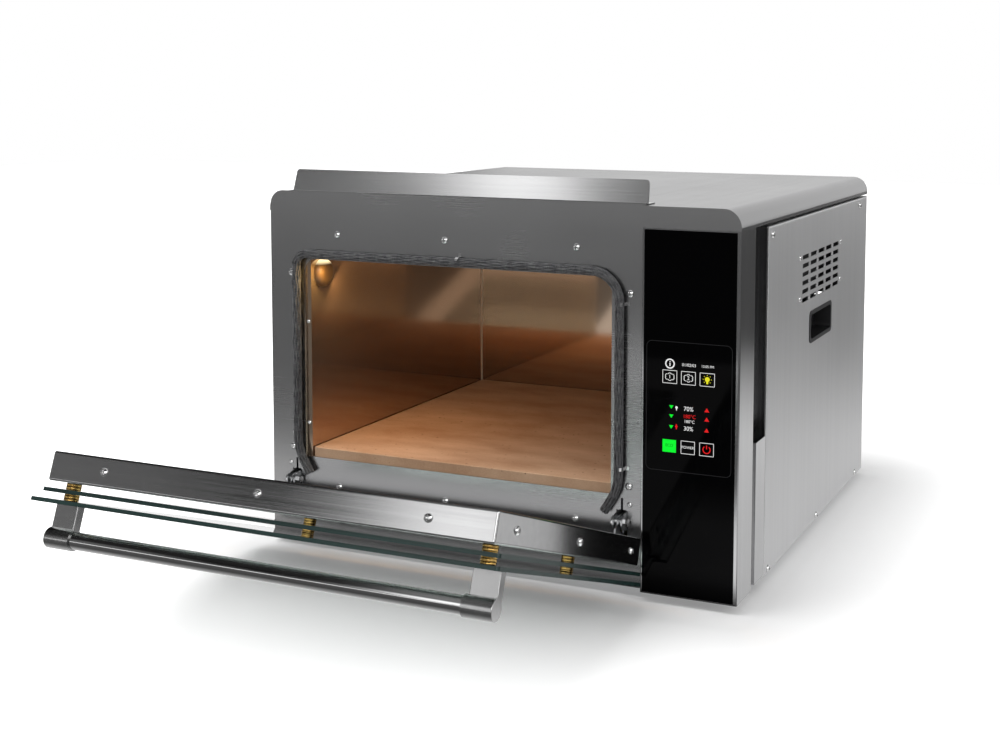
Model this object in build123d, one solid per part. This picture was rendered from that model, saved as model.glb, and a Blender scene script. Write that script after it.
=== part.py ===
from build123d import *
from math import atan2, cos, degrees, radians, sin
import os

# Counter-top electric pizza oven, all sizes in millimetres.
# X runs to the right, Y to the back and Z up. The origin lies on the counter,
# under the middle of the casing. The door is drawn shut and then swung open.

# Casing
body_width = 600.0
body_depth = 620.0
casing_height = 425.0
sheet = 1.0
base_sheet = 1.5
base_flange = 30.0
cover_bend_radius = 20.0
cover_flange = 24.0
cover_gap = 3.0
return_flange = 12.0
panel_bend_radius = 2.5
foot_height = 10.0
foot_radius = 17.5
foot_inset = 60.0
foot_chamfer = 2.0
foot_spigot_radius = 4.0
foot_spigot_gap = 0.1
foot_spigot_length = 4.0
panel_overlap = 0.2

# Front plate and the opening of the oven
plate_thickness = 1.5
plate_setback = 11.4
plate_side_margin = 2.0
plate_corner_radius = 17.0
plate_rise = 1.0
opening_margin_left = 49.3
opening_margin_right = 39.1
opening_margin_top = 80.5
opening_bottom = 102.5
opening_corner_radius = 16.0
opening_sill_radius = 1.0
front_screw_drop = 50.0
front_screw_sill_drop = 33.5
front_screw_inset_left = 47.1
front_screw_inset_right = 42.7
front_screw_middle_shift = -7.9
side_strip_left = 31.4
side_strip_right = 17.5
side_strip_drop = 17.5
side_strip_rise = 10.5

# Visor
visor_inset_left = 34.0
visor_column_lap = 2.0
visor_height = 27.0
visor_lean = 4.0
visor_foot = 20.0
visor_end_slant = 4.0
visor_corner_radius = 4.0
visor_sheet = 1.2
visor_bend_radius = 1.6

# Control column
column_width = 111.0
fascia_height = 23.5
column_edge_radius = 2.0
column_side_flat = 50.0
column_fold_radius = 20.0
column_fold_angle = 44.0
column_recess_width = 41.0
column_recess_depth = 20.0
column_frame = 2.7
column_frame_right = 4.2
column_foot_frame = 1.5
glass_thickness = 4.0
glass_gap = 0.3
glass_setback = 0.3
glass_corner_radius = 1.0
carrier_ledge = 8.0
filler_height = 162.0
filler_foot_gap = 2.0
filler_front_gap = 3.0
filler_back_gap = 1.5
display_width = 96.2
display_height = 141.0
display_depth = 12.0
display_bottom = 139.0
display_right_margin = 8.5
display_chamfer = 2.0

# Oven chamber
liner_sheet = 1.0
liner_step_left = 8.7
liner_step_right = 0.7
liner_step_top = 0.5
liner_step_bottom = 30.5
liner_back_room = 160.0
liner_front_flange = 16.0
jamb_screw_rises = (41.5, 165.5)
stone_rise = 11.5
stone_thickness = 18.0
stone_front_gap = 1.5
stone_side_gap = 2.0
stone_chamfer = 0.8
rail_leg = 22.0
rail_sheet = 2.0
rail_end_gap = 6.0
cross_bar_width = 20.0
cross_bar_thickness = 4.0
cross_bar_gap = 0.5
heater_diameter = 8.0
heater_pitch = 62.0
heater_bend_share = 0.4
heater_legs = 6
upper_heater_drop = 14.0
lower_heater_rise = 10.0
heater_margin = 30.0
upper_heater_setback = 150.0
heater_terminal = 14.0
heater_hole_gap = 0.15
clip_width = 14.0
clip_length = 10.0
clip_inset = 60.0
insulation_thickness = 38.0
stand_flange = 30.0
stand_inset = 60.0
partition_gap = 9.0
partition_sheet = 1.2
partition_foot = 15.0
lamp_setback = 36.0
lamp_drop = 20.0
lamp_glass_radius = 17.0
lamp_glass_height = 10.2
lamp_dome_share = 0.8
lamp_flange = 6.0
lamp_flange_thickness = 3.0
lamp_flange_gap = 2.0
lamp_holder_gap = 0.2
lamp_holder_radius = 14.0
lamp_holder_length = 40.0
probe_diameter = 4.0
probe_hole_gap = 0.1
probe_head_radius = 6.0
probe_head_length = 22.0
probe_reach = 45.0
probe_margin_right = 90.6
probe_drop = 45.0
steam_pipe_radius = 15.0
steam_pipe_wall = 1.0
steam_pipe_gap = 0.1
steam_margin_left = 42.0
steam_drop = 45.0

# Door seal
seal_diameter = 11.2
seal_step_left = 7.3
seal_step_right = 11.1
seal_step_top = 6.5
seal_corner_left = 14.0
seal_corner_right = 34.0
seal_tail_rise = 25.5
seal_tail_radius = 60.0
seal_tail_angle = 32.0
seal_tail_length = 15.0
seal_clip_width = 4.0
seal_clip_foot = 5.0
seal_clip_drop = 35.0
seal_clip_rise = 31.0
seal_clip_shift = 12.4
seal_clip_sheet = 0.8

# Hinge axis, measured from the column face and the sill of the opening
hinge_setback = 18.0
hinge_drop = 29.3
hinge_step_left = 12.9
hinge_step_right = 13.5
open_angle = 69.9
pin_radius = 3.0
pin_running_gap = 0.05
cheek_gap = 8.0
cheek_sheet = 2.0
cheek_window_gap = 0.6
cheek_nose_radius = 8.5
cheek_heel_radius = 11.5
bracket_depth = 26.0
bracket_tab = 10.0
slit_width = 2.7
slit_drop = 3.5
hinge_window_drop = 16.5
hinge_window_low = 21.2
arm_thickness = 2.0
arm_bush_radius = 6.0
arm_bush_gap = 0.3
arm_hub_radius = 10.0
arm_slot_edge = 6.5
arm_neck_low = 7.0
arm_neck_top = 24.0
arm_neck_front = 8.0
arm_neck_back = 4.0
arm_foot_depth = 11.0
arm_foot_length = 45.0
arm_foot_width = 18.0
arm_foot_rise = 10.0
stop_radius = 13.0
stop_rise = 0.8
stop_bolt_radius = 2.5
stop_slot_gap = 0.3
stop_head_radius = 6.2
stop_head_thickness = 3.0
stop_head_chamfer = 0.6
stop_nut_radius = 4.5
stop_nut_thickness = 4.0

# Door, measured along it and out of it from the hinge axis
door_inset_left = 1.8
door_column_lap = 6.2
door_bottom = 24.0
door_rise = 37.5
door_face_gap = 0.6
tray_depth = 29.0
door_bend_radius = 2.2
tray_lip = 34.0
tray_slit_gap = 1.0
window_margin_side = 62.0
window_margin_top = 78.0
window_margin_bottom = 40.0
window_corner_radius = 14.0
inner_glass_thickness = 5.0
inner_glass_lap = 12.0
inner_glass_corner = 4.0
inner_frame_sheet = 1.2
inner_frame_lip = 2.0
inner_frame_window_lap = 4.0
door_screw_inset = 67.0
door_screw_drop = 41.7
door_screw_middle = 173.6
door_screw_low = 27.6
pane_thickness = 4.0
spacer_length = 6.6
spacer_radius = 7.4
spacer_chamfer = 0.5
inner_pane_overhang = 5.8
inner_pane_drop = 1.6
outer_pane_overhang = 10.4
outer_pane_rise = 7.2
pane_bottom = 12.0
pane_notch_gap = 0.5
pane_notch_heights = (30.0, 38.0)
pane_corner_radius = 3.0
front_spacer_inset = 14.3
front_spacer_drop = 23.1
rear_spacer_inset = 79.2
rear_spacer_height = 31.2
through_bolt_radius = 2.5
through_bolt_seat = 6.0
bolt_head_radius = 4.5
bolt_head_height = 3.0
cap_radius = 12.5
cap_thickness = 3.0
cap_chamfer = 0.8
handle_bar_radius = 8.5
handle_lead = 3.5
handle_reach = 32.7
handle_post_width = 27.5
handle_post_depth = 10.0
ferrule_radius = 10.3
ferrule_length = 30.4
ferrule_inset_left = 1.8
ferrule_overhang_right = 2.1
ferrule_bar_lap = 22.0
ferrule_edge_radius = 0.8

# Side panels
grip_front = 293.0
grip_length = 114.0
grip_height = 40.5
grip_rim = 5.0
grip_rim_thickness = 1.0
grip_depth = 24.0
grip_wall = 2.0
grip_corner_radius = 5.0
grip_rim_radius = 7.0
grip_drop = 18.5
vent_front = 256.0
vent_margin_top = 78.0
vent_columns = 5
vent_rows = 6
vent_pitch = 39.4
vent_row_pitch = 10.5
vent_length = 31.0
vent_width = 5.4
vent_corner_radius = 1.2
vent_screw_side_gap = 13.0
vent_screw_rear_gap = 9.0
vent_screw_lift = 1.0
vent_screw_low = 3.5
baffle_depth = 22.0
baffle_margin = 6.0
baffle_foot = 12.0

# Back panel and cooling fan
fan_size = 92.0
fan_corner_radius = 6.0
fan_thickness = 25.0
fan_duct_radius = 43.0
fan_margin_right = 60.0
fan_height = 110.0
fan_hub_radius = 19.0
fan_hub_depth = 17.0
fan_hub_gap = 0.8
fan_tip_gap = 1.5
fan_shaft_radius = 2.0
fan_shaft_inset = 4.0
fan_blades = 7
fan_blade_angle = 38.0
fan_blade_thickness = 1.6
fan_blade_root = 4.0
fan_blade_fill = 0.85
fan_spoke_width = 5.0
fan_spoke_thickness = 3.0
fan_hole_pitch = 82.5
guard_slots = 14
guard_slot_length = 25.0
guard_slot_width = 5.0
guard_mid_radius = 27.0
louvre_rows = 8
louvre_pitch = 11.0
louvre_length = 70.0
louvre_width = 4.5
louvre_margin_top = 95.0
gland_margin_right = 100.0
gland_height = 45.0
gland_thread_radius = 9.8
gland_nut_radius = 13.5
gland_nut_thickness = 6.0
gland_dome_radius = 11.3
gland_dome_length = 15.0
gland_dome_rounding = 3.0
gland_bore_radius = 6.0

# Screws
screw_head_radius = 4.4
screw_head_height = 2.8
screw_crown = 0.4
screw_shank_radius = 1.9
screw_shank_length = 5.0
small_head_radius = 3.1
small_head_height = 1.8
jamb_head_radius = 2.8
side_screw_margin = 14.0
side_screw_rear = 50.0
side_screw_drop = 10.0
side_screw_low = 5.0
back_screw_inset = 20.0
back_screw_low = 18.0
back_screw_drop = 13.0

# Electrical pieces behind the column and beside the chamber
board_thickness = 1.6
board_standoff = 12.0
board_inset = 14.0
board_edge = 4.0
board_blocks = ((6.0, 8.0, 24.0, 32.0, 16.0), (40.0, 12.0, 16.0, 40.0, 12.0))
capacitor_rises = (80.0, 110.0)
capacitor_inset = 20.0
capacitor_radius = 7.0
capacitor_length = 18.0
standoff_radius = 2.5
relay_size = (24.0, 30.0, 26.0)
relay_gap = 8.0
relay_count = 3
relay_height = 180.0
contactor_size = (52.0, 45.0, 70.0)
contactor_height = 250.0
contactor_step_depth = 0.6
contactor_step_height = 0.72
terminal_size = (16.0, 60.0, 22.0)
terminal_count = 5
terminal_pitch = 12.0
terminal_bore = 2.5
terminal_height = 40.0
terminal_back_margin = 120.0
limiter_radius = 20.0
limiter_depth = 26.0
limiter_stem_radius = 4.0
limiter_stem_length = 10.0
limiter_height = 290.0
limiter_setback = 180.0
electric_front = 240.0

# Edges of the casing and the column
left = -body_width / 2
right = body_width / 2
front = -body_depth / 2
back = body_depth / 2
base = foot_height
top = base + casing_height
plate_front = front + plate_setback
plate_back = plate_front + plate_thickness
column_left = right - column_width
column_top = top - fascia_height
fold_side = column_fold_radius * (1 - cos(radians(column_fold_angle)))
fold_depth = column_fold_radius * sin(radians(column_fold_angle))
column_fold_end = front + column_side_flat + fold_depth
column_back = column_fold_end + column_recess_width
recess_inner = right - column_recess_depth
cover_flange_bottom = top - cover_flange
panel_top = cover_flange_bottom - cover_gap
glass_back = front + glass_setback + glass_thickness

# Opening, visor and seal
opening_left = left + opening_margin_left
opening_right = column_left - opening_margin_right
opening_middle = (opening_left + opening_right) / 2
opening_low = base + opening_bottom
opening_high = top - opening_margin_top
visor_left = left + visor_inset_left
visor_right = column_left + visor_column_lap
seal_left = opening_left - seal_step_left
seal_right = opening_right + seal_step_right
seal_high = opening_high + seal_step_top
seal_tail_high = opening_low + seal_tail_rise
seal_y = plate_front - seal_diameter / 2

# Chamber
liner_left = opening_left + liner_step_left
liner_right = opening_right + liner_step_right
liner_middle = (liner_left + liner_right) / 2
liner_back_y = back - liner_back_room
liner_floor_z = opening_low - liner_step_bottom
liner_ceiling_z = opening_high + liner_step_top
stone_top_z = opening_low + stone_rise
stone_bottom_z = stone_top_z - stone_thickness
upper_heater_z = liner_ceiling_z - upper_heater_drop
lower_heater_z = liner_floor_z + lower_heater_rise
heater_first_x = liner_middle - (heater_legs - 1) * heater_pitch / 2
heater_last_x = liner_middle + (heater_legs - 1) * heater_pitch / 2
stand_places = (plate_back + stand_inset, liner_back_y - stand_inset)
partition_x = column_left - partition_gap
lamp_y = front + lamp_setback
lamp_z = liner_ceiling_z - lamp_drop
probe_x = liner_right - probe_margin_right
probe_z = liner_ceiling_z - probe_drop
steam_x = liner_left + steam_margin_left
steam_z = liner_ceiling_z - steam_drop

# Hinge
hinge_x = (opening_left - hinge_step_left, opening_right + hinge_step_right)
hinge_y = front + hinge_setback
hinge_z = opening_low - hinge_drop
cheek_half = cheek_gap / 2 + cheek_sheet
slit_top_z = opening_low - slit_drop
hinge_window_top = opening_low - hinge_window_drop
hinge_window_bottom = hinge_z - hinge_window_low
stop_y = hinge_y - stop_radius
stop_z = hinge_z + stop_rise

# Door, shut
door_left = left + door_inset_left
door_right = column_left + door_column_lap
door_middle = (door_left + door_right) / 2
door_bottom_z = hinge_z + door_bottom
door_top_z = top + door_rise
tray_inner = front - door_face_gap
tray_outer = tray_inner - tray_depth
tray_middle = (tray_inner + tray_outer) / 2
inner_pane_face = tray_outer - spacer_length
outer_pane_face = inner_pane_face - pane_thickness - spacer_length
outer_pane_front = outer_pane_face - pane_thickness
inner_pane_top = door_top_z - inner_pane_drop
outer_pane_top = door_top_z + outer_pane_rise
window_left = door_left + window_margin_side
window_right = door_right - window_margin_side
window_low = door_bottom_z + window_margin_bottom
window_high = door_top_z - window_margin_top
front_spacer_z = door_top_z - front_spacer_drop
rear_spacer_z = hinge_z + rear_spacer_height
front_spacer_x = (door_left + front_spacer_inset, door_right - front_spacer_inset)
rear_spacer_x = (door_left + rear_spacer_inset, door_right - rear_spacer_inset)
handle_y = outer_pane_front - handle_reach
handle_z = front_spacer_z + handle_lead
ferrule_left = door_left + ferrule_inset_left
ferrule_right = door_right + ferrule_overhang_right
door_top_screw_x = (door_left + door_screw_inset, door_middle, door_right - door_screw_inset)
door_side_screw_z = (
    door_top_z - door_screw_drop,
    door_bottom_z + door_screw_middle,
    door_bottom_z + door_screw_low,
)

# Back of the casing
fan_x = right - fan_margin_right
fan_z = base + fan_height
gland_x = right - gland_margin_right
gland_z = base + gland_height
louvre_high = top - louvre_margin_top

# Vent slots, and the grip under them
vent_high = top - vent_margin_top
vent_span = (vent_columns - 1) * vent_pitch + vent_length
vent_drop = (vent_rows - 1) * vent_row_pitch
vent_first = front + vent_front
grip_high = vent_high - vent_drop - grip_drop
grip_low = grip_high - grip_height
vent_screw_places = [
    (y, z)
    for y in (vent_first - vent_screw_side_gap, vent_first + vent_span + vent_screw_rear_gap)
    for z in (vent_high + vent_screw_lift, vent_high - vent_drop + vent_screw_low)
]

# Places of the screws in the front plate, the strip beside the opening and the back
front_screw_x = (
    opening_left + front_screw_inset_left,
    opening_middle + front_screw_middle_shift,
    opening_right - front_screw_inset_right,
)
front_holes = [
    (x, z) for x in front_screw_x for z in (top - front_screw_drop, opening_low - front_screw_sill_drop)
]
front_holes += [
    (x, z)
    for x in (left + side_strip_left, column_left - side_strip_right)
    for z in (opening_high - side_strip_drop, opening_low + side_strip_rise)
]
jamb_screw_places = [((opening_left + liner_left) / 2, opening_low + rise) for rise in jamb_screw_rises]
back_screw_rows = (base + back_screw_low, panel_top - back_screw_drop)
back_screw_places = [
    (x, z) for x in (left + back_screw_inset, 0.0, right - back_screw_inset) for z in back_screw_rows
]
back_screw_places += [
    (x, sum(back_screw_rows) / 2) for x in (left + back_screw_inset, right - back_screw_inset)
]
fan_screw_places = [
    (fan_x + a * fan_hole_pitch / 2, fan_z + b * fan_hole_pitch / 2) for a in (-1, 1) for b in (-1, 1)
]


def block(x_span, y_span, z_span):
    """Box between pairs of coordinates."""
    size = [high - low for low, high in (x_span, y_span, z_span)]
    middle = [(low + high) / 2 for low, high in (x_span, y_span, z_span)]
    return Pos(*middle) * Box(*size)


def bent(points, thickness, bend_radius, side=Side.LEFT):
    """Profile of a folded sheet along a line of points."""
    line = FilletPolyline(*points, radius=bend_radius)
    wire = Wire(line.edges())
    return make_face(wire.offset_2d(thickness, kind=Kind.INTERSECTION, side=side))


def across(profile, x_span):
    """Push a profile drawn in Y and Z along X."""
    placed = Pos(x_span[0], 0, 0) * (Plane.YZ * profile)
    return extrude(placed, x_span[1] - x_span[0], dir=(1, 0, 0))


def backwards(profile, y_span):
    """Push a profile drawn in X and Z along Y."""
    placed = Pos(0, y_span[0], 0) * (Plane.XZ * profile)
    return extrude(placed, y_span[1] - y_span[0], dir=(0, 1, 0))


def upwards(profile, z_span):
    """Push a profile drawn in X and Y along Z."""
    return extrude(Pos(0, 0, z_span[0]) * profile, z_span[1] - z_span[0], dir=(0, 0, 1))


def rounded(x_span, z_span, radius):
    """Rectangle drawn in X and Z, with rounded corners where the radius isn't zero."""
    width = x_span[1] - x_span[0]
    height = z_span[1] - z_span[0]
    middle = Pos((x_span[0] + x_span[1]) / 2, (z_span[0] + z_span[1]) / 2)
    if radius == 0:
        return middle * Rectangle(width, height)
    return middle * RectangleRounded(width, height, radius)


def rod_x(y, z, radius, x_span):
    """Round bar along X."""
    length = x_span[1] - x_span[0]
    return Pos((x_span[0] + x_span[1]) / 2, y, z) * Rot(Y=90) * Cylinder(radius, length)


def rod_y(x, z, radius, y_span):
    """Round bar along Y."""
    length = y_span[1] - y_span[0]
    return Pos(x, (y_span[0] + y_span[1]) / 2, z) * Rot(X=90) * Cylinder(radius, length)


def pan(x_span, y_span, z_span, thickness, open_side, bend_radius=2.5):
    """Folded pan with one open side, named by its direction such as (0, -1, 0)."""
    outer = block(x_span, y_span, z_span)
    spans = [list(x_span), list(y_span), list(z_span)]
    for axis, way in enumerate(open_side):
        spans[axis][0] += thickness if way >= 0 else -thickness
        spans[axis][1] -= thickness if way <= 0 else -thickness
    inner = block(*spans)
    rims = [outer.faces().sort_by(Axis(origin=(0, 0, 0), direction=open_side))[-1]]
    inner_rim = inner.faces().sort_by(Axis(origin=(0, 0, 0), direction=open_side))[-1]
    outer_edges = [edge for edge in outer.edges() if edge not in rims[0].edges()]
    inner_edges = [edge for edge in inner.edges() if edge not in inner_rim.edges()]
    outer = fillet(outer_edges, bend_radius)
    inner = fillet(inner_edges, bend_radius - thickness)
    return outer - inner


def hull_of(circles):
    """Outline round two or more circles given as (a, b, radius)."""
    return make_hull([(Pos(a, b) * Circle(radius)).edges() for a, b, radius in circles])


def swing_open(piece):
    """Turn a piece of the shut door about the hinge to where it rests."""
    return Pos(0, hinge_y, hinge_z) * Rot(X=open_angle) * Pos(0, -hinge_y, -hinge_z) * piece


def screw(radius, height, shank=screw_shank_length):
    """Screw pointing into -Z with its head above the XY plane."""
    head = Cylinder(radius, height, align=(Align.CENTER, Align.CENTER, Align.MIN))
    head = chamfer(head.edges().group_by(Axis.Z)[-1], height * screw_crown)
    stem = Cylinder(screw_shank_radius, shank, align=(Align.CENTER, Align.CENTER, Align.MAX))
    return head + stem


up_screw = screw(screw_head_radius, screw_head_height)
front_screw = Rot(X=90) * up_screw
right_screw = Rot(Y=90) * up_screw
left_screw = Rot(Y=-90) * up_screw
rear_screw = Rot(X=-90) * up_screw
small_screw = screw(small_head_radius, small_head_height)


def screw_holes_y(places, y_span, radius=screw_shank_radius):
    """Clearance holes along Y for a list of (x, z) places."""
    return [rod_y(x, z, radius, y_span) for x, z in places]


def screw_holes_x(places, x_span):
    """Clearance holes along X for a list of (y, z) places."""
    return [rod_x(y, z, screw_shank_radius, x_span) for y, z in places]


def side_span(side):
    """Stretch along X that passes through the right or the left wall of the casing."""
    if side > 0:
        return (right - 4 * sheet, right + sheet)
    return (left - sheet, left + 4 * sheet)


def side_screw_places(side):
    """Places of a side panel's screws, two at its top and three at its foot."""
    panel_front = column_back if side > 0 else plate_back
    first = panel_front + side_screw_margin
    last = back - side_screw_rear
    high = panel_top - side_screw_drop
    low = base + side_screw_low
    return [(first, high), (last, high), (first, low), ((first + last) / 2, low), (last, low)]


# Casing

def base_tray():
    """Folded floor of the casing, notched round the column."""
    inner_left = left + sheet
    inner_right = right - sheet
    rear = back - 2 * sheet
    z_span = (base, base + base_flange)
    tray = pan((inner_left, inner_right), (plate_back, rear), z_span, base_sheet, (0, 0, 1))
    tray -= block((column_left, right), (front, column_back), (0, top))
    for x in (left + foot_inset, right - foot_inset):
        for y in (front + foot_inset, back - foot_inset):
            tray -= Pos(x, y, base) * Cylinder(foot_spigot_radius, 4 * base_sheet)
    for side in (1, -1):
        low_places = [(y, z) for y, z in side_screw_places(side) if z < base + base_flange]
        tray -= screw_holes_x(low_places, side_span(side))
    return tray - screw_holes_y(back_screw_places, (back - 4 * base_sheet, back))


def feet():
    """Rubber feet with a spigot through the floor."""
    group = []
    for x in (left + foot_inset, right - foot_inset):
        for y in (front + foot_inset, back - foot_inset):
            pad = Pos(x, y, foot_height / 2) * Cylinder(foot_radius, foot_height)
            pad = chamfer(pad.edges().group_by(Axis.Z)[-1], foot_chamfer)
            spigot = Cylinder(foot_spigot_radius - foot_spigot_gap, foot_spigot_length)
            group.append(pad + Pos(x, y, foot_height + foot_spigot_length / 2) * spigot)
    return Compound(children=group)


def cover_profile():
    """Cover sheet seen from the front: top with a bend and a short flange each side."""
    points = [(left, cover_flange_bottom), (left, top), (right, top), (right, cover_flange_bottom)]
    return bent(points, sheet, cover_bend_radius, Side.RIGHT)


def top_cover():
    """Bent cover with its fascia over the column."""
    profile = cover_profile()
    cover = backwards(profile, (plate_back, back))
    over_column = Pos((column_left + right) / 2, top) * Rectangle(column_width, 4 * cover_flange)
    cover += backwards(profile & over_column, (front, plate_back))
    outline = FilletPolyline(
        (left, column_top), (left, top), (right, top), (right, column_top), radius=cover_bend_radius
    )
    filled = make_face([*outline.edges(), Line((right, column_top), (left, column_top))])
    fascia = backwards(filled & over_column, (front, front + sheet))
    cheek = block((column_left, column_left + sheet), (front, plate_back), (column_top, top - sheet))
    rear_flange = backwards(filled, (back - sheet, back))
    cover = cover + fascia + cheek + rear_flange
    return cover - block((column_left, right + sheet), (front, column_back), (base, column_top))


def visor():
    """Folded steam visor standing on the cover behind the front plate."""
    points = [
        (plate_back + visor_foot, top),
        (plate_back, top),
        (plate_back + visor_lean, top + visor_height),
    ]
    profile = bent(points, visor_sheet, visor_bend_radius, Side.RIGHT)
    strip = across(profile, (visor_left, visor_right))
    outline = Polyline(
        (visor_left, top),
        (visor_right, top),
        (visor_right, top + visor_height),
        (visor_left + visor_end_slant, top + visor_height),
        (visor_left, top),
    )
    window = make_face(outline)
    window = fillet(window.vertices().group_by(Axis.Y)[-1], visor_corner_radius)
    return strip & backwards(window, (plate_front, plate_back + 2 * visor_foot))


def side_panel_sheet(side):
    """Plain folded right side panel, or its left twin that reaches the front plate."""
    panel_front = column_back if side > 0 else plate_back
    front_return = column_recess_depth + return_flange if side > 0 else return_flange
    rear = back - sheet
    front_edge = right - front_return
    rear_edge = right - return_flange
    plan = [(front_edge, panel_front), (right, panel_front), (right, rear), (rear_edge, rear)]
    panel = upwards(bent(plan, sheet, panel_bend_radius), (base, panel_top))
    head_x = right - cover_bend_radius - sheet
    head_low = panel_top - return_flange
    head = [(right, head_low), (right, panel_top), (head_x, panel_top), (head_x, top - sheet)]
    head_span = (panel_front + panel_bend_radius + sheet, rear - panel_bend_radius - sheet)
    panel -= block((right - 2 * sheet, right + sheet), head_span, (head_low, top))
    panel += backwards(bent(head, sheet, panel_bend_radius), head_span)
    inner = right - sheet
    panel -= block((left, inner), (panel_front, panel_front + base_flange), (base, base + base_flange))
    panel -= block((left, inner), (rear - base_flange, rear), (base, base + base_flange))
    return panel if side > 0 else mirror(panel, Plane.YZ)


def grip_opening(side):
    """Hole in a side panel for the grip."""
    y_mid = front + grip_front + grip_length / 2
    z_mid = grip_low + grip_height / 2
    hole = Rectangle(grip_length - 2 * grip_rim + 2 * grip_wall, grip_height - 2 * grip_rim + 2 * grip_wall)
    hole = Pos(y_mid, z_mid) * fillet(hole.vertices(), grip_corner_radius)
    return across(hole, side_span(side))


def vent_slots():
    """Rows of short slots in the right side panel."""
    slots = Sketch()
    slot = RectangleRounded(vent_length, vent_width, vent_corner_radius)
    for column in range(vent_columns):
        for row in range(vent_rows):
            y = vent_first + vent_length / 2 + column * vent_pitch
            slots += Pos(y, vent_high - row * vent_row_pitch) * slot
    return across(slots, side_span(1))


def side_panel(side):
    """Side panel with its grip hole, screw holes and, on the right, the vent slots."""
    panel = side_panel_sheet(side) - grip_opening(side)
    places = side_screw_places(side)
    if side > 0:
        places += vent_screw_places
        panel -= vent_slots()
    return panel - screw_holes_x(places, side_span(side))


def vent_backing():
    """Baffle box behind the vent slots, open at its foot and held by the four grille screws."""
    y_span = (vent_screw_places[0][0] - baffle_margin, vent_screw_places[-1][0] + baffle_margin)
    z_span = (vent_high - vent_drop - baffle_foot, vent_high + baffle_margin)
    inner = right - sheet
    box = block((inner - baffle_depth, inner), y_span, z_span)
    box -= block(
        (inner - baffle_depth + sheet, inner + sheet),
        (y_span[0] + baffle_foot, y_span[1] - baffle_foot),
        (z_span[0], z_span[1] - sheet),
    )
    return box - screw_holes_x(vent_screw_places, (inner - baffle_depth, inner))


def grip_cup(side):
    """Moulded recessed grip with a rim outside the panel and a scooped roof."""
    y_mid = front + grip_front + grip_length / 2
    z_mid = grip_low + grip_height / 2
    rim = Rectangle(grip_length, grip_height)
    rim = Pos(y_mid, z_mid) * fillet(rim.vertices(), grip_rim_radius)
    mouth = Rectangle(grip_length - 2 * grip_rim, grip_height - 2 * grip_rim)
    mouth = Pos(y_mid, z_mid) * fillet(mouth.vertices(), grip_corner_radius)
    body = offset(mouth, grip_wall - panel_overlap)
    cup = across(rim, (right, right + grip_rim_thickness))
    cup += across(body, (right - grip_depth, right))
    cup -= across(mouth, (right - grip_depth + grip_wall, right + 2 * grip_rim_thickness))
    return cup if side > 0 else mirror(cup, Plane.YZ)


def back_holes():
    """Everything cut through the back panel."""
    span = (back - 2 * sheet, back + sheet)
    slots = Sketch()
    for number in range(guard_slots):
        turn = Rot(Z=number * 360.0 / guard_slots) * Pos(guard_mid_radius, 0)
        slots += turn * SlotOverall(guard_slot_length, guard_slot_width)
    rows = Sketch()
    for number in range(louvre_rows):
        rows += Pos(fan_x, louvre_high - number * louvre_pitch) * SlotOverall(louvre_length, louvre_width)
    cuts = [backwards(Pos(fan_x, fan_z) * slots, span), backwards(rows, span)]
    cuts.append(rod_y(steam_x, steam_z, steam_pipe_radius + panel_overlap, span))
    cuts.append(rod_y(gland_x, gland_z, gland_thread_radius + panel_overlap, span))
    return cuts + screw_holes_y(back_screw_places + fan_screw_places, span)


def back_panel():
    """Flat back panel with the fan guard, louvres, steam outlet and gland hole."""
    margin = sheet + panel_overlap
    panel = block((left + margin, right - margin), (back - sheet, back), (base + panel_overlap, panel_top))
    return panel - back_holes()


# Front plate with its hinge windows

def hinge_window(x):
    """Cut-out for one hinge: a wide window with a narrow slit above it."""
    half = cheek_half + cheek_window_gap
    y_span = (plate_front - 1, plate_back + 1)
    wide = block((x - half, x + half), y_span, (hinge_window_bottom, hinge_window_top))
    slit = block((x - slit_width / 2, x + slit_width / 2), y_span, (hinge_window_top - 1, slit_top_z))
    return wide + slit


def front_plate():
    """Dark front plate with the oven opening, folded back along its left edge."""
    plate_left = left + plate_side_margin
    outline = rounded((plate_left, column_left), (base, top + plate_rise), 0)
    corner = outline.vertices().group_by(Axis.Y)[-1].sort_by(Axis.X)[0]
    outline = fillet(corner, plate_corner_radius)
    opening_x = (opening_left, opening_right)
    sill = rounded(opening_x, (opening_low, opening_high), opening_sill_radius)
    sill &= rounded(opening_x, (opening_low, (opening_low + opening_high) / 2), 0)
    outline -= rounded(opening_x, (opening_low, opening_high), opening_corner_radius) + sill
    plate = backwards(outline, (plate_front, plate_back))
    plate -= [hinge_window(x) for x in hinge_x]
    holes = front_holes + [tab_screw_place(x) for x in hinge_x]
    return plate - screw_holes_y(holes, (plate_front - 1, plate_back + 1))


def tab_screw_place(x):
    """Place of the screw that holds a hinge bracket's tab behind the plate."""
    outward = 1 if x > opening_middle else -1
    reach = cheek_half + small_head_radius
    return (x + outward * reach, (hinge_window_top + slit_top_z) / 2)


def front_screws():
    """Screws of the front plate."""
    screws = [Pos(x, plate_front, z) * front_screw for x, z in front_holes]
    small_front_screw = Rot(X=90) * small_screw
    for x, z in [tab_screw_place(x) for x in hinge_x]:
        screws.append(Pos(x, plate_front, z) * small_front_screw)
    return Compound(children=screws)


# Column

def column_outline():
    """Plan of the column with its folded side and the recess behind it."""
    fold_x = right - fold_side
    corners = FilletPolyline(
        (column_left, column_back),
        (column_left, front),
        (right, front),
        (right, front + column_side_flat),
        radius=column_edge_radius,
    )
    fold = JernArc((right, front + column_side_flat), (0, 1), column_fold_radius, column_fold_angle)
    rest = Polyline(
        (fold_x, column_fold_end),
        (recess_inner, column_fold_end),
        (recess_inner, column_back),
        (column_left, column_back),
    )
    return make_face([*corners.edges(), *fold.edges(), *rest.edges()])


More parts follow.
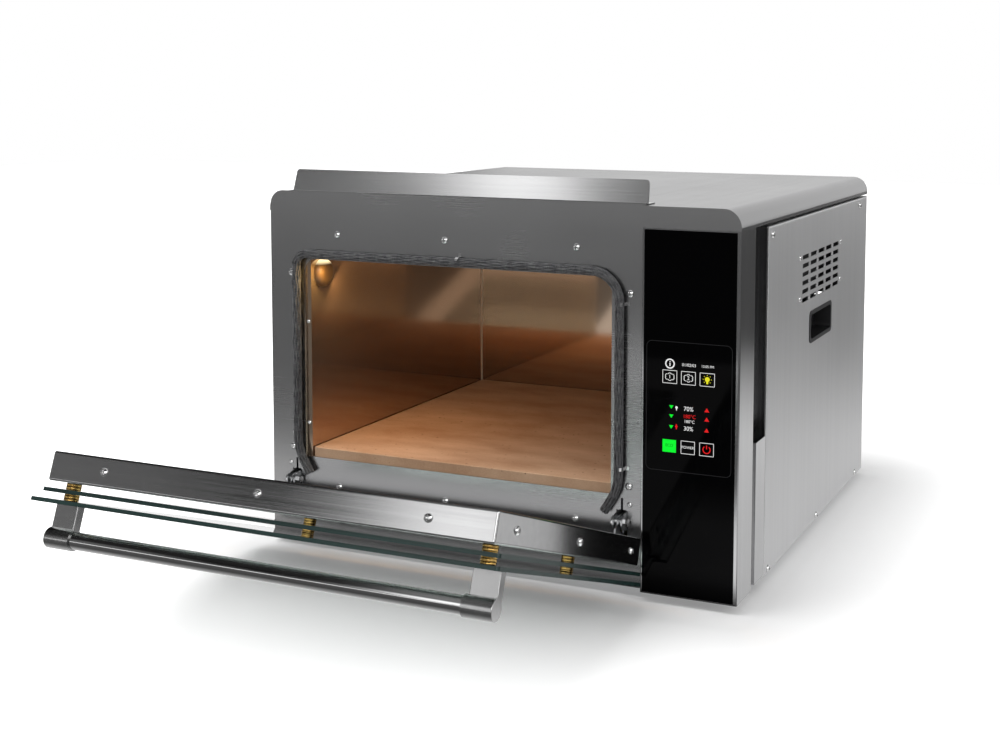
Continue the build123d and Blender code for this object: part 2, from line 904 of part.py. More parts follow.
def glass_span():
    """Edges of the column glass in X and in Z."""
    x_span = (column_left + column_frame, right - column_frame_right)
    z_span = (base + column_foot_frame, column_top - column_foot_frame)
    return x_span, z_span


def column_shell():
    """Steel shell of the column with a ledge behind its glass, open at the back."""
    outline = column_outline()
    hollow = offset(outline, -sheet)
    shell = upwards(outline, (base, column_top)) - upwards(hollow, (base + sheet, column_top - sheet))
    shell -= block(
        (column_left + sheet, recess_inner - sheet),
        (column_back - 2 * sheet, column_back + sheet),
        (base + sheet, column_top - sheet),
    )
    x_span, z_span = glass_span()
    ledge = block(
        (column_left + sheet / 2, right - sheet / 2),
        (glass_back, glass_back + sheet),
        (base + sheet / 2, column_top - sheet / 2),
    )
    ledge -= block(
        (x_span[0] + carrier_ledge, x_span[1] - carrier_ledge),
        (front, column_back),
        (z_span[0] + carrier_ledge, z_span[1] - carrier_ledge),
    )
    shell += ledge
    shell -= Pos(right - foot_inset, front + foot_inset, base) * Cylinder(foot_spigot_radius, 4 * base_sheet)
    return shell - block(x_span, (front - 1, glass_back), z_span)


def column_glass():
    """Black glass that fills the front of the column."""
    x_span, z_span = glass_span()
    outline = rounded(
        (x_span[0] + glass_gap, x_span[1] - glass_gap),
        (z_span[0] + glass_gap, z_span[1] - glass_gap),
        glass_corner_radius,
    )
    return backwards(outline, (front + glass_setback, glass_back))


def recess_filler():
    """Channel that closes the lower part of the recess behind the column."""
    y_span = (column_fold_end + filler_front_gap, column_back - filler_back_gap)
    z_span = (base + filler_foot_gap, base + filler_height)
    face = block((right - 1.5 * sheet, right - 0.5 * sheet), y_span, z_span)
    leg_fronts = (y_span[0], y_span[1] - sheet)
    return face + [block((recess_inner, right - sheet), (y, y + sheet), z_span) for y in leg_fronts]


def touch_display():
    """Touch display module bonded behind the glass."""
    ledge_left = glass_span()[0][0] + carrier_ledge
    ledge_right = glass_span()[0][1] - carrier_ledge
    x_high = right - display_right_margin
    x_span = (max(x_high - display_width, ledge_left), min(x_high, ledge_right))
    z_span = (base + display_bottom, base + display_bottom + display_height)
    module = block(x_span, (glass_back, glass_back + display_depth), z_span)
    return chamfer(module.edges().filter_by(Axis.Y), display_chamfer)


# Oven chamber

def oven_liner():
    """Mirror-finished chamber, open at the front, with a flange behind the plate."""
    x_span = (liner_left, liner_right)
    outer = block(
        (x_span[0] - liner_sheet, x_span[1] + liner_sheet),
        (plate_back, liner_back_y + liner_sheet),
        (liner_floor_z - liner_sheet, liner_ceiling_z + liner_sheet),
    )
    reach = liner_front_flange
    flange = block(
        (x_span[0] - reach, x_span[1] + reach),
        (plate_back, plate_back + liner_sheet),
        (liner_floor_z - liner_sheet, liner_ceiling_z + reach),
    )
    liner = outer + flange - block(x_span, (front, liner_back_y), (liner_floor_z, liner_ceiling_z))
    half = cheek_half + cheek_window_gap + panel_overlap
    flange_span = (plate_back - 1, plate_back + 2 * liner_sheet)
    for x in hinge_x:
        liner -= block((x - half, x + half), flange_span, (base, slit_top_z + 2 * liner_sheet))
    liner -= back_wall_holes((liner_back_y - 1, liner_back_y + 2 * liner_sheet))
    liner -= rod_x(lamp_y, lamp_z, lamp_holder_radius, (liner_left - 2 * liner_sheet, liner_left + 1))
    return liner - screw_holes_y(jamb_screw_places, flange_span)


def jamb_screws():
    """Small screws in the strip beside the opening."""
    head = Rot(X=90) * screw(jamb_head_radius, small_head_height)
    return Compound(children=[Pos(x, plate_back, z) * head for x, z in jamb_screw_places])


def baking_stone():
    """Refractory baking stone with a slightly broken front edge."""
    stone = block(
        (liner_left + stone_side_gap, liner_right - stone_side_gap),
        (plate_back + stone_front_gap, liner_back_y - stone_side_gap),
        (stone_bottom_z, stone_top_z),
    )
    return chamfer(stone.edges().filter_by(Axis.X).group_by(Axis.Z)[-1], stone_chamfer)


def stone_rails():
    """Angle rails on the side walls and a joggled cross bar under the stone."""
    y_span = (plate_back + rail_end_gap, liner_back_y - rail_end_gap)
    points = [
        (liner_left, stone_bottom_z - rail_leg),
        (liner_left, stone_bottom_z),
        (liner_left + rail_leg, stone_bottom_z),
    ]
    left_rail = backwards(bent(points, rail_sheet, panel_bend_radius, Side.RIGHT), y_span)
    right_rail = mirror(left_rail, Plane.YZ.offset(liner_middle))
    y_mid = (y_span[0] + y_span[1]) / 2
    bar_y = (y_mid - cross_bar_width / 2, y_mid + cross_bar_width / 2)
    rail_under = stone_bottom_z - rail_sheet
    under = rail_under - cross_bar_thickness
    bar = block((liner_left + rail_sheet, liner_right - rail_sheet), bar_y, (under, rail_under))
    reach = rail_leg + cross_bar_gap
    bar += block((liner_left + reach, liner_right - reach), bar_y, (under, stone_bottom_z))
    return Compound(children=[left_rail, right_rail, bar])


def heater(z, setback):
    """Serpentine tubular element whose two ends leave through the back wall."""
    y_near = plate_back + setback
    y_far = liner_back_y - heater_margin
    y_end = liner_back_y + liner_sheet + insulation_thickness + heater_terminal
    points = []
    for number in range(heater_legs):
        x = heater_first_x + number * heater_pitch
        leg = [(x, y_far), (x, y_near)]
        points += leg if number % 2 == 0 else reversed(leg)
    points[0] = (heater_first_x, y_end)
    points[-1] = (points[-1][0], y_end)
    path = FilletPolyline(*points, radius=heater_pitch * heater_bend_share)
    start = Pos(heater_first_x, y_end, z) * Rot(X=90) * Circle(heater_diameter / 2)
    return sweep(start, path=Pos(0, 0, z) * path)


def back_wall_holes(y_span):
    """Clearance holes through the chamber's back for steam pipe, probe and element ends."""
    holes = [
        rod_y(steam_x, steam_z, steam_pipe_radius + steam_pipe_gap, y_span),
        rod_y(probe_x, probe_z, probe_diameter / 2 + probe_hole_gap, y_span),
    ]
    ends = [(x, z) for x in (heater_first_x, heater_last_x) for z in (upper_heater_z, lower_heater_z)]
    return holes + screw_holes_y(ends, y_span, heater_diameter / 2 + heater_hole_gap)


def heater_clips():
    """Hanger clips of the upper element and stands of the lower one."""
    half = heater_diameter / 2
    clips = []
    for number in (1, heater_legs - 2):
        x = heater_first_x + number * heater_pitch
        x_span = (x - clip_width / 2, x + clip_width / 2)
        for y in (plate_back + upper_heater_setback + clip_inset / 2, liner_back_y - clip_inset):
            y_span = (y - clip_length / 2, y + clip_length / 2)
            hanger = block(x_span, y_span, (upper_heater_z - half - rail_sheet, liner_ceiling_z))
            clips.append(hanger - rod_y(x, upper_heater_z, half, y_span))
        for y in (plate_back + clip_inset, liner_back_y - clip_inset):
            y_span = (y - clip_length / 2, y + clip_length / 2)
            stand = block(x_span, y_span, (liner_floor_z, lower_heater_z))
            clips.append(stand - rod_y(x, lower_heater_z, half, y_span))
    return Compound(children=clips)


def chamber_stands():
    """Two folded channels that carry the chamber on the casing floor."""
    z_low = base + base_sheet
    z_high = liner_floor_z - liner_sheet
    stands = []
    for y in stand_places:
        points = [(y + stand_flange, z_low), (y, z_low), (y, z_high), (y + stand_flange, z_high)]
        profile = bent(points, base_sheet, panel_bend_radius, Side.RIGHT)
        stands.append(across(profile, (liner_left, liner_right)))
    return Compound(children=stands)


def insulation():
    """Mineral wool slabs round the chamber."""
    low = liner_floor_z - liner_sheet
    high = liner_ceiling_z + liner_sheet
    west = liner_left - liner_sheet
    east = liner_right + liner_sheet
    y_span = (plate_back + bracket_depth + lamp_holder_radius, liner_back_y + liner_sheet)
    back_span = (y_span[1], y_span[1] + insulation_thickness)
    over_span = (plate_back + liner_front_flange, y_span[1])
    over = block((west, east), over_span, (high, high + insulation_thickness))
    under = block((west, east), y_span, (low - insulation_thickness, low))
    under -= [block((west - 1, east + 1), (y, y + stand_flange), (base, low)) for y in stand_places]
    beside = block((west - insulation_thickness, west), y_span, (low, high))
    lamp_hole_radius = lamp_holder_radius + lamp_flange + lamp_flange_gap
    beside -= rod_x(lamp_y, lamp_z, lamp_hole_radius, (left, west + 1))
    beside -= block(
        (left, left + grip_depth + sheet),
        (front + grip_front, front + grip_front + grip_length),
        (grip_low, grip_high),
    )
    inside = block((east, partition_x), y_span, (low, high))
    behind = block((west, east), back_span, (low, high))
    behind -= back_wall_holes((back_span[0] - 1, back_span[1] + 1))
    slabs = [over, under, beside, inside, behind]
    return Compound(children=[solid for slab in slabs for solid in slab.solids()])


def lamp_holder():
    """Ceramic lamp holder clamped outside the left wall."""
    outside = liner_left - liner_sheet
    radius = lamp_holder_radius - lamp_holder_gap
    body = rod_x(lamp_y, lamp_z, radius, (liner_left - lamp_holder_length, liner_left - lamp_holder_gap))
    flange_radius = lamp_holder_radius + lamp_flange
    return body + rod_x(lamp_y, lamp_z, flange_radius, (outside - lamp_flange_thickness, outside))


def lamp_glass():
    """Heat-proof dome over the lamp, inside the chamber."""
    dome = rod_x(lamp_y, lamp_z, lamp_glass_radius, (liner_left, liner_left + lamp_glass_height))
    return fillet(dome.edges().group_by(Axis.X)[-1], lamp_glass_height * lamp_dome_share)


def temperature_probe():
    """Probe through the back wall."""
    y_end = liner_back_y + liner_sheet + insulation_thickness
    probe = rod_y(probe_x, probe_z, probe_diameter / 2, (liner_back_y - probe_reach, y_end))
    return probe + rod_y(probe_x, probe_z, probe_head_radius, (y_end, y_end + probe_head_length))


def steam_pipe():
    """Steam outlet from the chamber to the back panel."""
    span = (liner_back_y, back)
    pipe = rod_y(steam_x, steam_z, steam_pipe_radius, span)
    return pipe - rod_y(steam_x, steam_z, steam_pipe_radius - steam_pipe_wall, (span[0] - 1, span[1] + 1))


def partition():
    """Wall between the chamber and the electrical side."""
    z_span = (base + base_sheet, top - sheet)
    y_span = (plate_back + 2 * base_sheet, back - 2 * sheet - 2 * base_sheet)
    wall = block((partition_x, partition_x + partition_sheet), y_span, z_span)
    foot_y = (column_back + baffle_margin, y_span[1])
    return wall + block((partition_x, partition_x + partition_foot), foot_y, (z_span[0], z_span[0] + sheet))


# Door seal

def seal_path():
    """Centre line of the seal: up the left side, over the top and down the right side."""
    rise = Line((seal_left, seal_tail_high), (seal_left, seal_high - seal_corner_left))
    left_corner = JernArc(rise @ 1, (0, 1), seal_corner_left, -90)
    over = Line(left_corner @ 1, (seal_right - seal_corner_right, seal_high))
    right_corner = JernArc(over @ 1, (1, 0), seal_corner_right, -90)
    fall = Line(right_corner @ 1, (seal_right, seal_tail_high))
    edges = [rise, left_corner, over, right_corner, fall]
    for start, turn in ((rise @ 0, seal_tail_angle), (fall @ 1, -seal_tail_angle)):
        bend = JernArc(start, (0, -1), seal_tail_radius, turn)
        edges += [bend, Line(bend @ 1, bend @ 1 + (bend % 1) * seal_tail_length)]
    return Wire([edge for part in edges for edge in part.edges()])


def door_seal():
    """Rope seal pressed on the front plate round the top and sides of the opening."""
    path = Pos(0, seal_y, 0) * (Plane.XZ * seal_path())
    section = Plane(origin=path @ 0, z_dir=path % 0) * Circle(seal_diameter / 2)
    return sweep(section, path=path)


def seal_clip():
    """Folded clip that hooks the rope, drawn at the origin with the rope along Z."""
    rope = seal_diameter / 2
    thick = seal_clip_sheet
    ring = Circle(rope + thick) - Circle(rope)
    hook = ring & (Pos(rope, -rope) * Rectangle(rope, 2 * rope))
    riser = Pos(rope + thick / 2, rope / 2) * Rectangle(thick, rope)
    foot = Pos(rope + seal_clip_foot / 2, rope - thick / 2) * Rectangle(seal_clip_foot, thick)
    return upwards(hook + riser + foot, (-seal_clip_width / 2, seal_clip_width / 2))


def seal_clips():
    """Clips that hold the seal at its top and sides."""
    right_clip = seal_clip()
    left_clip = mirror(right_clip, Plane.YZ)
    clips = [Pos(opening_middle + seal_clip_shift, seal_y, seal_high) * Rot(Y=-90) * right_clip]
    for z in (seal_high - seal_clip_drop, opening_low + seal_clip_rise):
        clips += [Pos(seal_right, seal_y, z) * right_clip, Pos(seal_left, seal_y, z) * left_clip]
    return Compound(children=clips)


# Hinge pieces

def bracket_profile():
    """Side view of a bracket cheek: a nose round the stop bolt and a straight body."""
    nose = hull_of([(hinge_y, hinge_z, cheek_heel_radius), (stop_y, stop_z, cheek_nose_radius)])
    y_high = plate_back + bracket_depth
    z_low = hinge_z - cheek_heel_radius
    z_high = hinge_z + cheek_heel_radius
    body = rounded((hinge_y, y_high), (z_low, z_high), 0)
    return nose + body + rounded((plate_back, y_high), (z_high, slit_top_z), 0)


def hinge_bracket(x):
    """Folded bracket: two cheeks through the plate, a web behind and a screw tab."""
    y_high = plate_back + bracket_depth
    gap_half = cheek_gap / 2
    outward = 1 if x > opening_middle else -1
    bracket = across(bracket_profile(), (x - cheek_half, x - gap_half))
    bracket += across(bracket_profile(), (x + gap_half, x + cheek_half))
    tab_x = sorted((x + outward * gap_half, x + outward * (cheek_half + bracket_tab)))
    bracket += block(tab_x, (plate_back, plate_back + cheek_sheet), (hinge_window_top, slit_top_z))
    web_z = (hinge_z - cheek_heel_radius, slit_top_z)
    bracket += block((x - cheek_half, x + cheek_half), (y_high - cheek_sheet, y_high), web_z)
    through = (x - 2 * cheek_half, x + 2 * cheek_half)
    bracket -= rod_x(hinge_y, hinge_z, pin_radius, through)
    bracket -= rod_x(stop_y, stop_z, stop_bolt_radius, through)
    return bracket - screw_holes_y([tab_screw_place(x)], (plate_back - 1, plate_back + 2 * cheek_sheet))


def hinge_pin(x):
    """Pivot pin riveted into both cheeks."""
    return rod_x(hinge_y, hinge_z, pin_radius, (x - cheek_half, x + cheek_half))


def stop_bolt(x):
    """Bolt across the cheeks, with a broad head and a nut, that stops the door."""
    head = rod_x(stop_y, stop_z, stop_head_radius, (x - cheek_half - stop_head_thickness, x - cheek_half))
    head = chamfer(head.edges().group_by(Axis.X)[0], stop_head_chamfer)
    nut_span = (x + cheek_half, x + cheek_half + stop_nut_thickness)
    nut = across(Pos(stop_y, stop_z) * RegularPolygon(stop_nut_radius, 6), nut_span)
    return head + rod_x(stop_y, stop_z, stop_bolt_radius, (x - cheek_half, nut_span[1])) + nut


def slot_ends():
    """Stop bolt seen from the arm, with the door open and shut, from the hinge axis."""
    dy = stop_y - hinge_y
    dz = stop_z - hinge_z
    turn = radians(-open_angle)
    opened = (dy * cos(turn) - dz * sin(turn), dy * sin(turn) + dz * cos(turn))
    return opened, (dy, dz)


def slot_track():
    """Centre line of the stop slot, an arc about the hinge axis between both stops."""
    opened, shut = slot_ends()
    start = degrees(atan2(opened[1], opened[0]))
    end = degrees(atan2(shut[1], shut[0]))
    if end < start:
        end += 360.0
    return CenterArc((0, 0), (opened[0] ** 2 + opened[1] ** 2) ** 0.5, start, end - start)


def arm_profile():
    """Side view of an arm in the shut door, in Y and Z from the hinge axis."""
    opened, shut = slot_ends()
    hub = hull_of([(0, 0, arm_hub_radius), (*opened, arm_slot_edge), (*shut, arm_slot_edge)])
    skin = tray_inner - hinge_y
    inside = skin - sheet - panel_overlap
    depth = inside - arm_foot_depth
    foot_low = door_bottom + sheet
    foot_top = foot_low + arm_foot_length
    tail = Polyline(
        (-arm_neck_back, arm_neck_low),
        (-arm_neck_back, arm_neck_top - arm_neck_front),
        (-arm_neck_back - arm_neck_front, arm_neck_top),
        (inside, arm_neck_top),
        (inside, foot_top),
        (depth, foot_top),
        (depth, foot_low),
        (inside, arm_neck_low),
        (-arm_neck_back, arm_neck_low),
    )
    return hub + make_face(tail)


def hinge_arm(x):
    """Flat arm with a welded bush, a curved stop slot and a foot inside the door."""
    at_axis = Pos(0, hinge_y, hinge_z)
    half = cheek_gap / 2 - arm_bush_gap
    bore = pin_radius + pin_running_gap
    arm = at_axis * across(arm_profile(), (x - arm_thickness / 2, x + arm_thickness / 2))
    arm += rod_x(hinge_y, hinge_z, arm_bush_radius, (x - half, x + half))
    arm -= rod_x(hinge_y, hinge_z, bore, (x - cheek_gap, x + cheek_gap))
    slot_width = 2 * (stop_bolt_radius + stop_slot_gap)
    arm -= at_axis * across(SlotArc(slot_track(), slot_width), (x - cheek_gap, x + cheek_gap))
    outward = 1 if x > opening_middle else -1
    inner = tray_inner - sheet
    foot_low = door_bottom_z + sheet
    arm += block(
        sorted((x, x + outward * arm_foot_width)),
        (inner - arm_thickness, inner),
        (foot_low + arm_foot_rise, foot_low + arm_foot_length),
    )
    return swing_open(arm)


# Door, drawn shut

def window_outline(lap, radius):
    """Rounded outline of the door's window, larger all round by a lap."""
    return rounded((window_left - lap, window_right + lap), (window_low - lap, window_high + lap), radius)


def door_tray():
    """Folded door tray: inner skin with a window, deep sides and outer lips."""
    tray = block((door_left, door_right), (tray_outer, tray_inner), (door_bottom_z, door_top_z))
    tray = fillet(tray.edges(), door_bend_radius)
    hollow = block(
        (door_left + sheet, door_right - sheet),
        (tray_outer + sheet, tray_inner - sheet),
        (door_bottom_z + sheet, door_top_z - sheet),
    )
    tray -= fillet(hollow.edges(), door_bend_radius - sheet)
    tray -= block(
        (door_left + tray_lip, door_right - tray_lip),
        (tray_outer - 1, tray_outer + 2 * sheet),
        (door_bottom_z + tray_lip, door_top_z - tray_lip),
    )
    window = window_outline(0.0, window_corner_radius)
    tray -= backwards(window, (tray_inner - 2 * sheet, tray_inner + 1))
    for x in hinge_x:
        tray -= block(
            (x - slit_width / 2, x + slit_width / 2),
            (tray_inner - sheet - arm_foot_depth - arm_thickness, tray_inner + 1),
            (door_bottom_z - 1, hinge_z + arm_neck_top + tray_slit_gap),
        )
    tray -= screw_holes_y(bolt_places(), (tray_outer - 1, tray_outer + 2 * sheet), through_bolt_radius)
    return swing_open(tray - door_screw_holes(screw_shank_length))


def door_screw_holes(depth):
    """Screw holes down to a depth through the top and both sides of the door."""
    hole = Cylinder(screw_shank_radius, 2 * depth)
    holes = [Pos(x, tray_middle, door_top_z) * hole for x in door_top_screw_x]
    places = [(tray_middle, z) for z in door_side_screw_z]
    holes += screw_holes_x(places, (door_right - depth, door_right + 1))
    return holes + screw_holes_x(places, (door_left - 1, door_left + depth))


def door_screws():
    """Screws that hold the inner frame in the tray."""
    screws = [Pos(x, tray_middle, door_top_z) * up_screw for x in door_top_screw_x]
    for z in door_side_screw_z:
        screws.append(Pos(door_right, tray_middle, z) * right_screw)
        screws.append(Pos(door_left, tray_middle, z) * left_screw)
    return Compound(children=[swing_open(item) for item in screws])


def door_inner_frame():
    """Inner pan that clamps the window glass against the tray skin."""
    glass_front = tray_inner - sheet - inner_glass_thickness
    x_span = (door_left + sheet, door_right - sheet)
    z_span = (door_bottom_z + sheet, door_top_z - sheet)
    rim = tray_outer + sheet + inner_frame_lip
    frame = pan(x_span, (rim, glass_front), z_span, inner_frame_sheet, (0, -1, 0))
    window = window_outline(inner_frame_window_lap, window_corner_radius)
    frame -= backwards(window, (glass_front - 2 * inner_frame_sheet, glass_front + 1))
    notch_top = door_bottom_z + sheet + arm_foot_length + inner_frame_lip
    notch_back = tray_inner - sheet - arm_foot_depth - arm_thickness
    half = arm_foot_width + arm_thickness
    for x in hinge_x:
        frame -= block((x - half, x + half), (notch_back, tray_inner), (door_bottom_z, notch_top))
    return swing_open(frame - door_screw_holes(2 * screw_shank_length))


def door_inner_glass():
    """Heat-proof glass behind the tray window."""
    outline = window_outline(inner_glass_lap, inner_glass_corner)
    glass = backwards(outline, (tray_inner - sheet - inner_glass_thickness, tray_inner - sheet))
    return swing_open(glass)


def bolt_places():
    """Places of the four bolts that carry the outer panes, the two of the handle first."""
    places = [(x, front_spacer_z) for x in front_spacer_x]
    return places + [(x, rear_spacer_z) for x in rear_spacer_x]


def pane(overhang, face, high, notch_height):
    """Toughened pane with rounded corners, four bolt holes and a notch beside the column."""
    x_span = (door_left - overhang, door_right + overhang)
    low = hinge_z + pane_bottom
    outline = rounded(x_span, (low, high), pane_corner_radius)
    notch_x = (column_left + pane_notch_gap, x_span[1] + pane_bottom)
    notch = rounded(notch_x, (low - pane_bottom, hinge_z + notch_height), pane_corner_radius)
    glass = backwards(outline - notch, (face - pane_thickness, face))
    bore = through_bolt_radius + glass_gap
    return swing_open(glass - screw_holes_y(bolt_places(), (face - 2 * pane_thickness, face + 1), bore))


def spacers():
    """Brass spacers between tray and panes, threaded on the bolts."""
    rings = []
    for x, z in bolt_places():
        for face in (tray_outer, inner_pane_face - pane_thickness):
            ring = rod_y(x, z, spacer_radius, (face - spacer_length, face))
            ring = chamfer(ring.edges(), spacer_chamfer)
            ring -= rod_y(x, z, through_bolt_radius, (face - spacer_length - 1, face + 1))
            rings.append(swing_open(ring))
    return Compound(children=rings)


def pane_bolts():
    """Bolts through tray, spacers and panes, screwed into the handle posts or the caps."""
    bolts = []
    for x, z in bolt_places():
        seat = through_bolt_seat if z == front_spacer_z else 0.0
        inside = tray_outer + sheet
        shank = rod_y(x, z, through_bolt_radius, (outer_pane_front - seat, inside))
        bolts.append(swing_open(shank + rod_y(x, z, bolt_head_radius, (inside, inside + bolt_head_height))))
    return Compound(children=bolts)


def pane_caps():
    """Flat caps that hold the lower corners of the outer pane."""
    caps = []
    for x in rear_spacer_x:
        cap = rod_y(x, rear_spacer_z, cap_radius, (outer_pane_front - cap_thickness, outer_pane_front))
        caps.append(swing_open(chamfer(cap.edges().group_by(Axis.Y)[0], cap_chamfer)))
    return Compound(children=caps)


def handle_post(side):
    """Flat post with a round ferrule that holds one end of the bar."""
    outer_end = ferrule_right if side > 0 else ferrule_left
    inner_end = outer_end - side * ferrule_length
    post_x = sorted((outer_end, outer_end - side * handle_post_width))
    ferrule_x = sorted((outer_end, inner_end))
    socket_x = sorted((inner_end - side, inner_end + side * ferrule_bar_lap))
    bolt_x = front_spacer_x[1] if side > 0 else front_spacer_x[0]
    half = handle_post_depth / 2
    post = block(post_x, (handle_y, outer_pane_front), (front_spacer_z - half, front_spacer_z + half))
    post = fillet(post.edges().filter_by(Axis.Y), ferrule_edge_radius)
    ferrule = rod_x(handle_y, handle_z, ferrule_radius, ferrule_x)
    ferrule = fillet(ferrule.edges().group_by(Axis.X)[-1 if side > 0 else 0], ferrule_edge_radius)
    body = post + ferrule - rod_x(handle_y, handle_z, handle_bar_radius, socket_x)
    thread = (outer_pane_front - through_bolt_seat, outer_pane_front + 1)
    return swing_open(body - rod_y(bolt_x, front_spacer_z, through_bolt_radius, thread))


def handle_bar():
    """Round steel bar seated in both ferrules."""
    end = ferrule_length - ferrule_bar_lap
    return swing_open(rod_x(handle_y, handle_z, handle_bar_radius, (ferrule_left + end, ferrule_right - end)))


# Screws of the casing

def panel_screws():
    """Screws of both side panels and of the vent baffle."""
    screws = [Pos(right, y, z) * right_screw for y, z in side_screw_places(1)]
    screws += [Pos(left, y, z) * left_screw for y, z in side_screw_places(-1)]
    screws += [Pos(right, y, z) * Rot(Y=90) * small_screw for y, z in vent_screw_places]
    return Compound(children=screws)


def back_screws():
    """Screws of the back panel and of the fan behind it."""
    places = back_screw_places + fan_screw_places
    return Compound(children=[Pos(x, back, z) * rear_screw for x, z in places])


# Cooling fan

def fan_frame():
    """Square fan frame with its duct, spokes and fixed shaft."""
    y_high = back - sheet
    y_low = y_high - fan_thickness
    middle = Pos(fan_x, fan_z)
    frame = backwards(middle * RectangleRounded(fan_size, fan_size, fan_corner_radius), (y_low, y_high))
    frame -= rod_y(fan_x, fan_z, fan_duct_radius, (y_low - 1, y_high + 1))
    hub_front = y_high - fan_spoke_thickness
    spoke = Rectangle(2 * fan_duct_radius + fan_spoke_width, fan_spoke_width)
    cross = Sketch() + [Rot(Z=angle) * spoke for angle in (45, -45)]
    frame += backwards(middle * (cross + Circle(fan_hub_radius)), (hub_front, y_high))
    frame += rod_y(fan_x, fan_z, fan_shaft_radius, (y_low + fan_shaft_inset, hub_front))
    return frame - screw_holes_y(fan_screw_places, (y_high - 2 * screw_shank_length, y_high + 1))


def fan_rotor():
    """Fan rotor with pitched blades running on the frame's shaft."""
    y_high = back - sheet - fan_spoke_thickness - fan_hub_gap
    y_low = y_high - fan_hub_depth
    tip = fan_duct_radius - fan_tip_gap
    root = fan_hub_radius - fan_blade_root
    chord = fan_hub_depth / sin(radians(fan_blade_angle)) * fan_blade_fill
    blade = Pos((tip + root) / 2, 0, 0) * Rot(X=fan_blade_angle) * Box(tip - root, chord, fan_blade_thickness)
    rotor = rod_y(fan_x, fan_z, fan_hub_radius, (y_low, y_high))
    for number in range(fan_blades):
        rotor += Pos(fan_x, (y_low + y_high) / 2, fan_z) * Rot(Y=number * 360.0 / fan_blades) * blade
    rotor &= rod_y(fan_x, fan_z, tip, (y_low, y_high))
    return rotor - rod_y(fan_x, fan_z, fan_shaft_radius + pin_running_gap, (y_low - 1, y_high + 1))


def cable_gland():
    """Cable gland in the back panel with its lock nut inside."""
    inner = back - sheet
    outer = back + gland_nut_thickness
    hexagon = Pos(gland_x, gland_z) * RegularPolygon(gland_nut_radius, 6)
    thread = rod_y(gland_x, gland_z, gland_thread_radius, (inner - gland_nut_thickness - 2 * sheet, back))
    dome = rod_y(gland_x, gland_z, gland_dome_radius, (back, outer + gland_dome_length))
    dome = fillet(dome.edges().group_by(Axis.Y)[-1], gland_dome_rounding)
    nut = backwards(hexagon, (back, outer))
    lock_nut = backwards(hexagon, (inner - gland_nut_thickness, inner))
    bore = (inner - 2 * gland_nut_thickness, outer + 2 * gland_dome_length)
    return thread + dome + nut + lock_nut - rod_y(gland_x, gland_z, gland_bore_radius, bore)


# Electrical pieces

def control_board():
    """Control board standing behind the display with its larger components."""
    board_back = glass_back + display_depth
    y_low = board_back + board_standoff
    x_low = column_left + board_inset
    x_high = recess_inner - board_edge
    z_low = base + display_bottom
    z_high = z_low + display_height
    board = block((x_low, x_high), (y_low, y_low + board_thickness), (z_low, z_high))
    for x, z, width, height, depth in board_blocks:
        foot = Pos(x_low + x, y_low, z_low + z)
        board += foot * Box(width, depth, height, align=(Align.MIN, Align.MIN, Align.MIN))
    for rise in capacitor_rises:
        can = (y_low, y_low + capacitor_length)
        board += rod_y(x_low + capacitor_inset, z_low + rise, capacitor_radius, can)
    for x in (x_low + board_edge, x_high - board_edge):
        for z in (z_low + board_edge, z_high - board_edge):
            board += rod_y(x, z, standoff_radius, (board_back, y_low))
    return board


def on_partition(size, y, z):
    """Box seated on the electrical side of the partition."""
    x = partition_x + partition_sheet
    return block((x, x + size[0]), (y, y + size[1]), (z, z + size[2]))


def contactor():
    """Contactor with its coil housing on the partition."""
    width, length, height = contactor_size
    y = front + electric_front
    z = base + contactor_height
    step_x = partition_x + partition_sheet + width * contactor_step_depth
    step_z = z + height * contactor_step_height
    step = block((step_x, right), (y - 1, y + length + 1), (step_z, z + height + 1))
    return on_partition(contactor_size, y, z) - step


def power_relays():
    """Solid relays in a row on the partition."""
    pitch = relay_size[1] + relay_gap
    places = [front + electric_front + number * pitch for number in range(relay_count)]
    return Compound(children=[on_partition(relay_size, y, base + relay_height) for y in places])


def terminal_block():
    """Mains terminal block near the gland."""
    y = back - terminal_back_margin
    z = base + terminal_height
    x = partition_x + partition_sheet + terminal_size[0]
    row = on_partition(terminal_size, y, z)
    places = [
        (y + (number + 0.5) * terminal_pitch, z + terminal_size[2] / 2) for number in range(terminal_count)
    ]
    return row - [rod_x(a, b, terminal_bore, (x - 2 * terminal_bore, x + 1)) for a, b in places]


def limit_thermostat():
    """Safety thermostat with its reset stem."""
    y = front + electric_front + limiter_setback
    z = base + limiter_height
    x = partition_x + partition_sheet
    face = x + limiter_depth
    stem = rod_x(y, z, limiter_stem_radius, (face, face + limiter_stem_length))
    return rod_x(y, z, limiter_radius, (x, face)) + stem


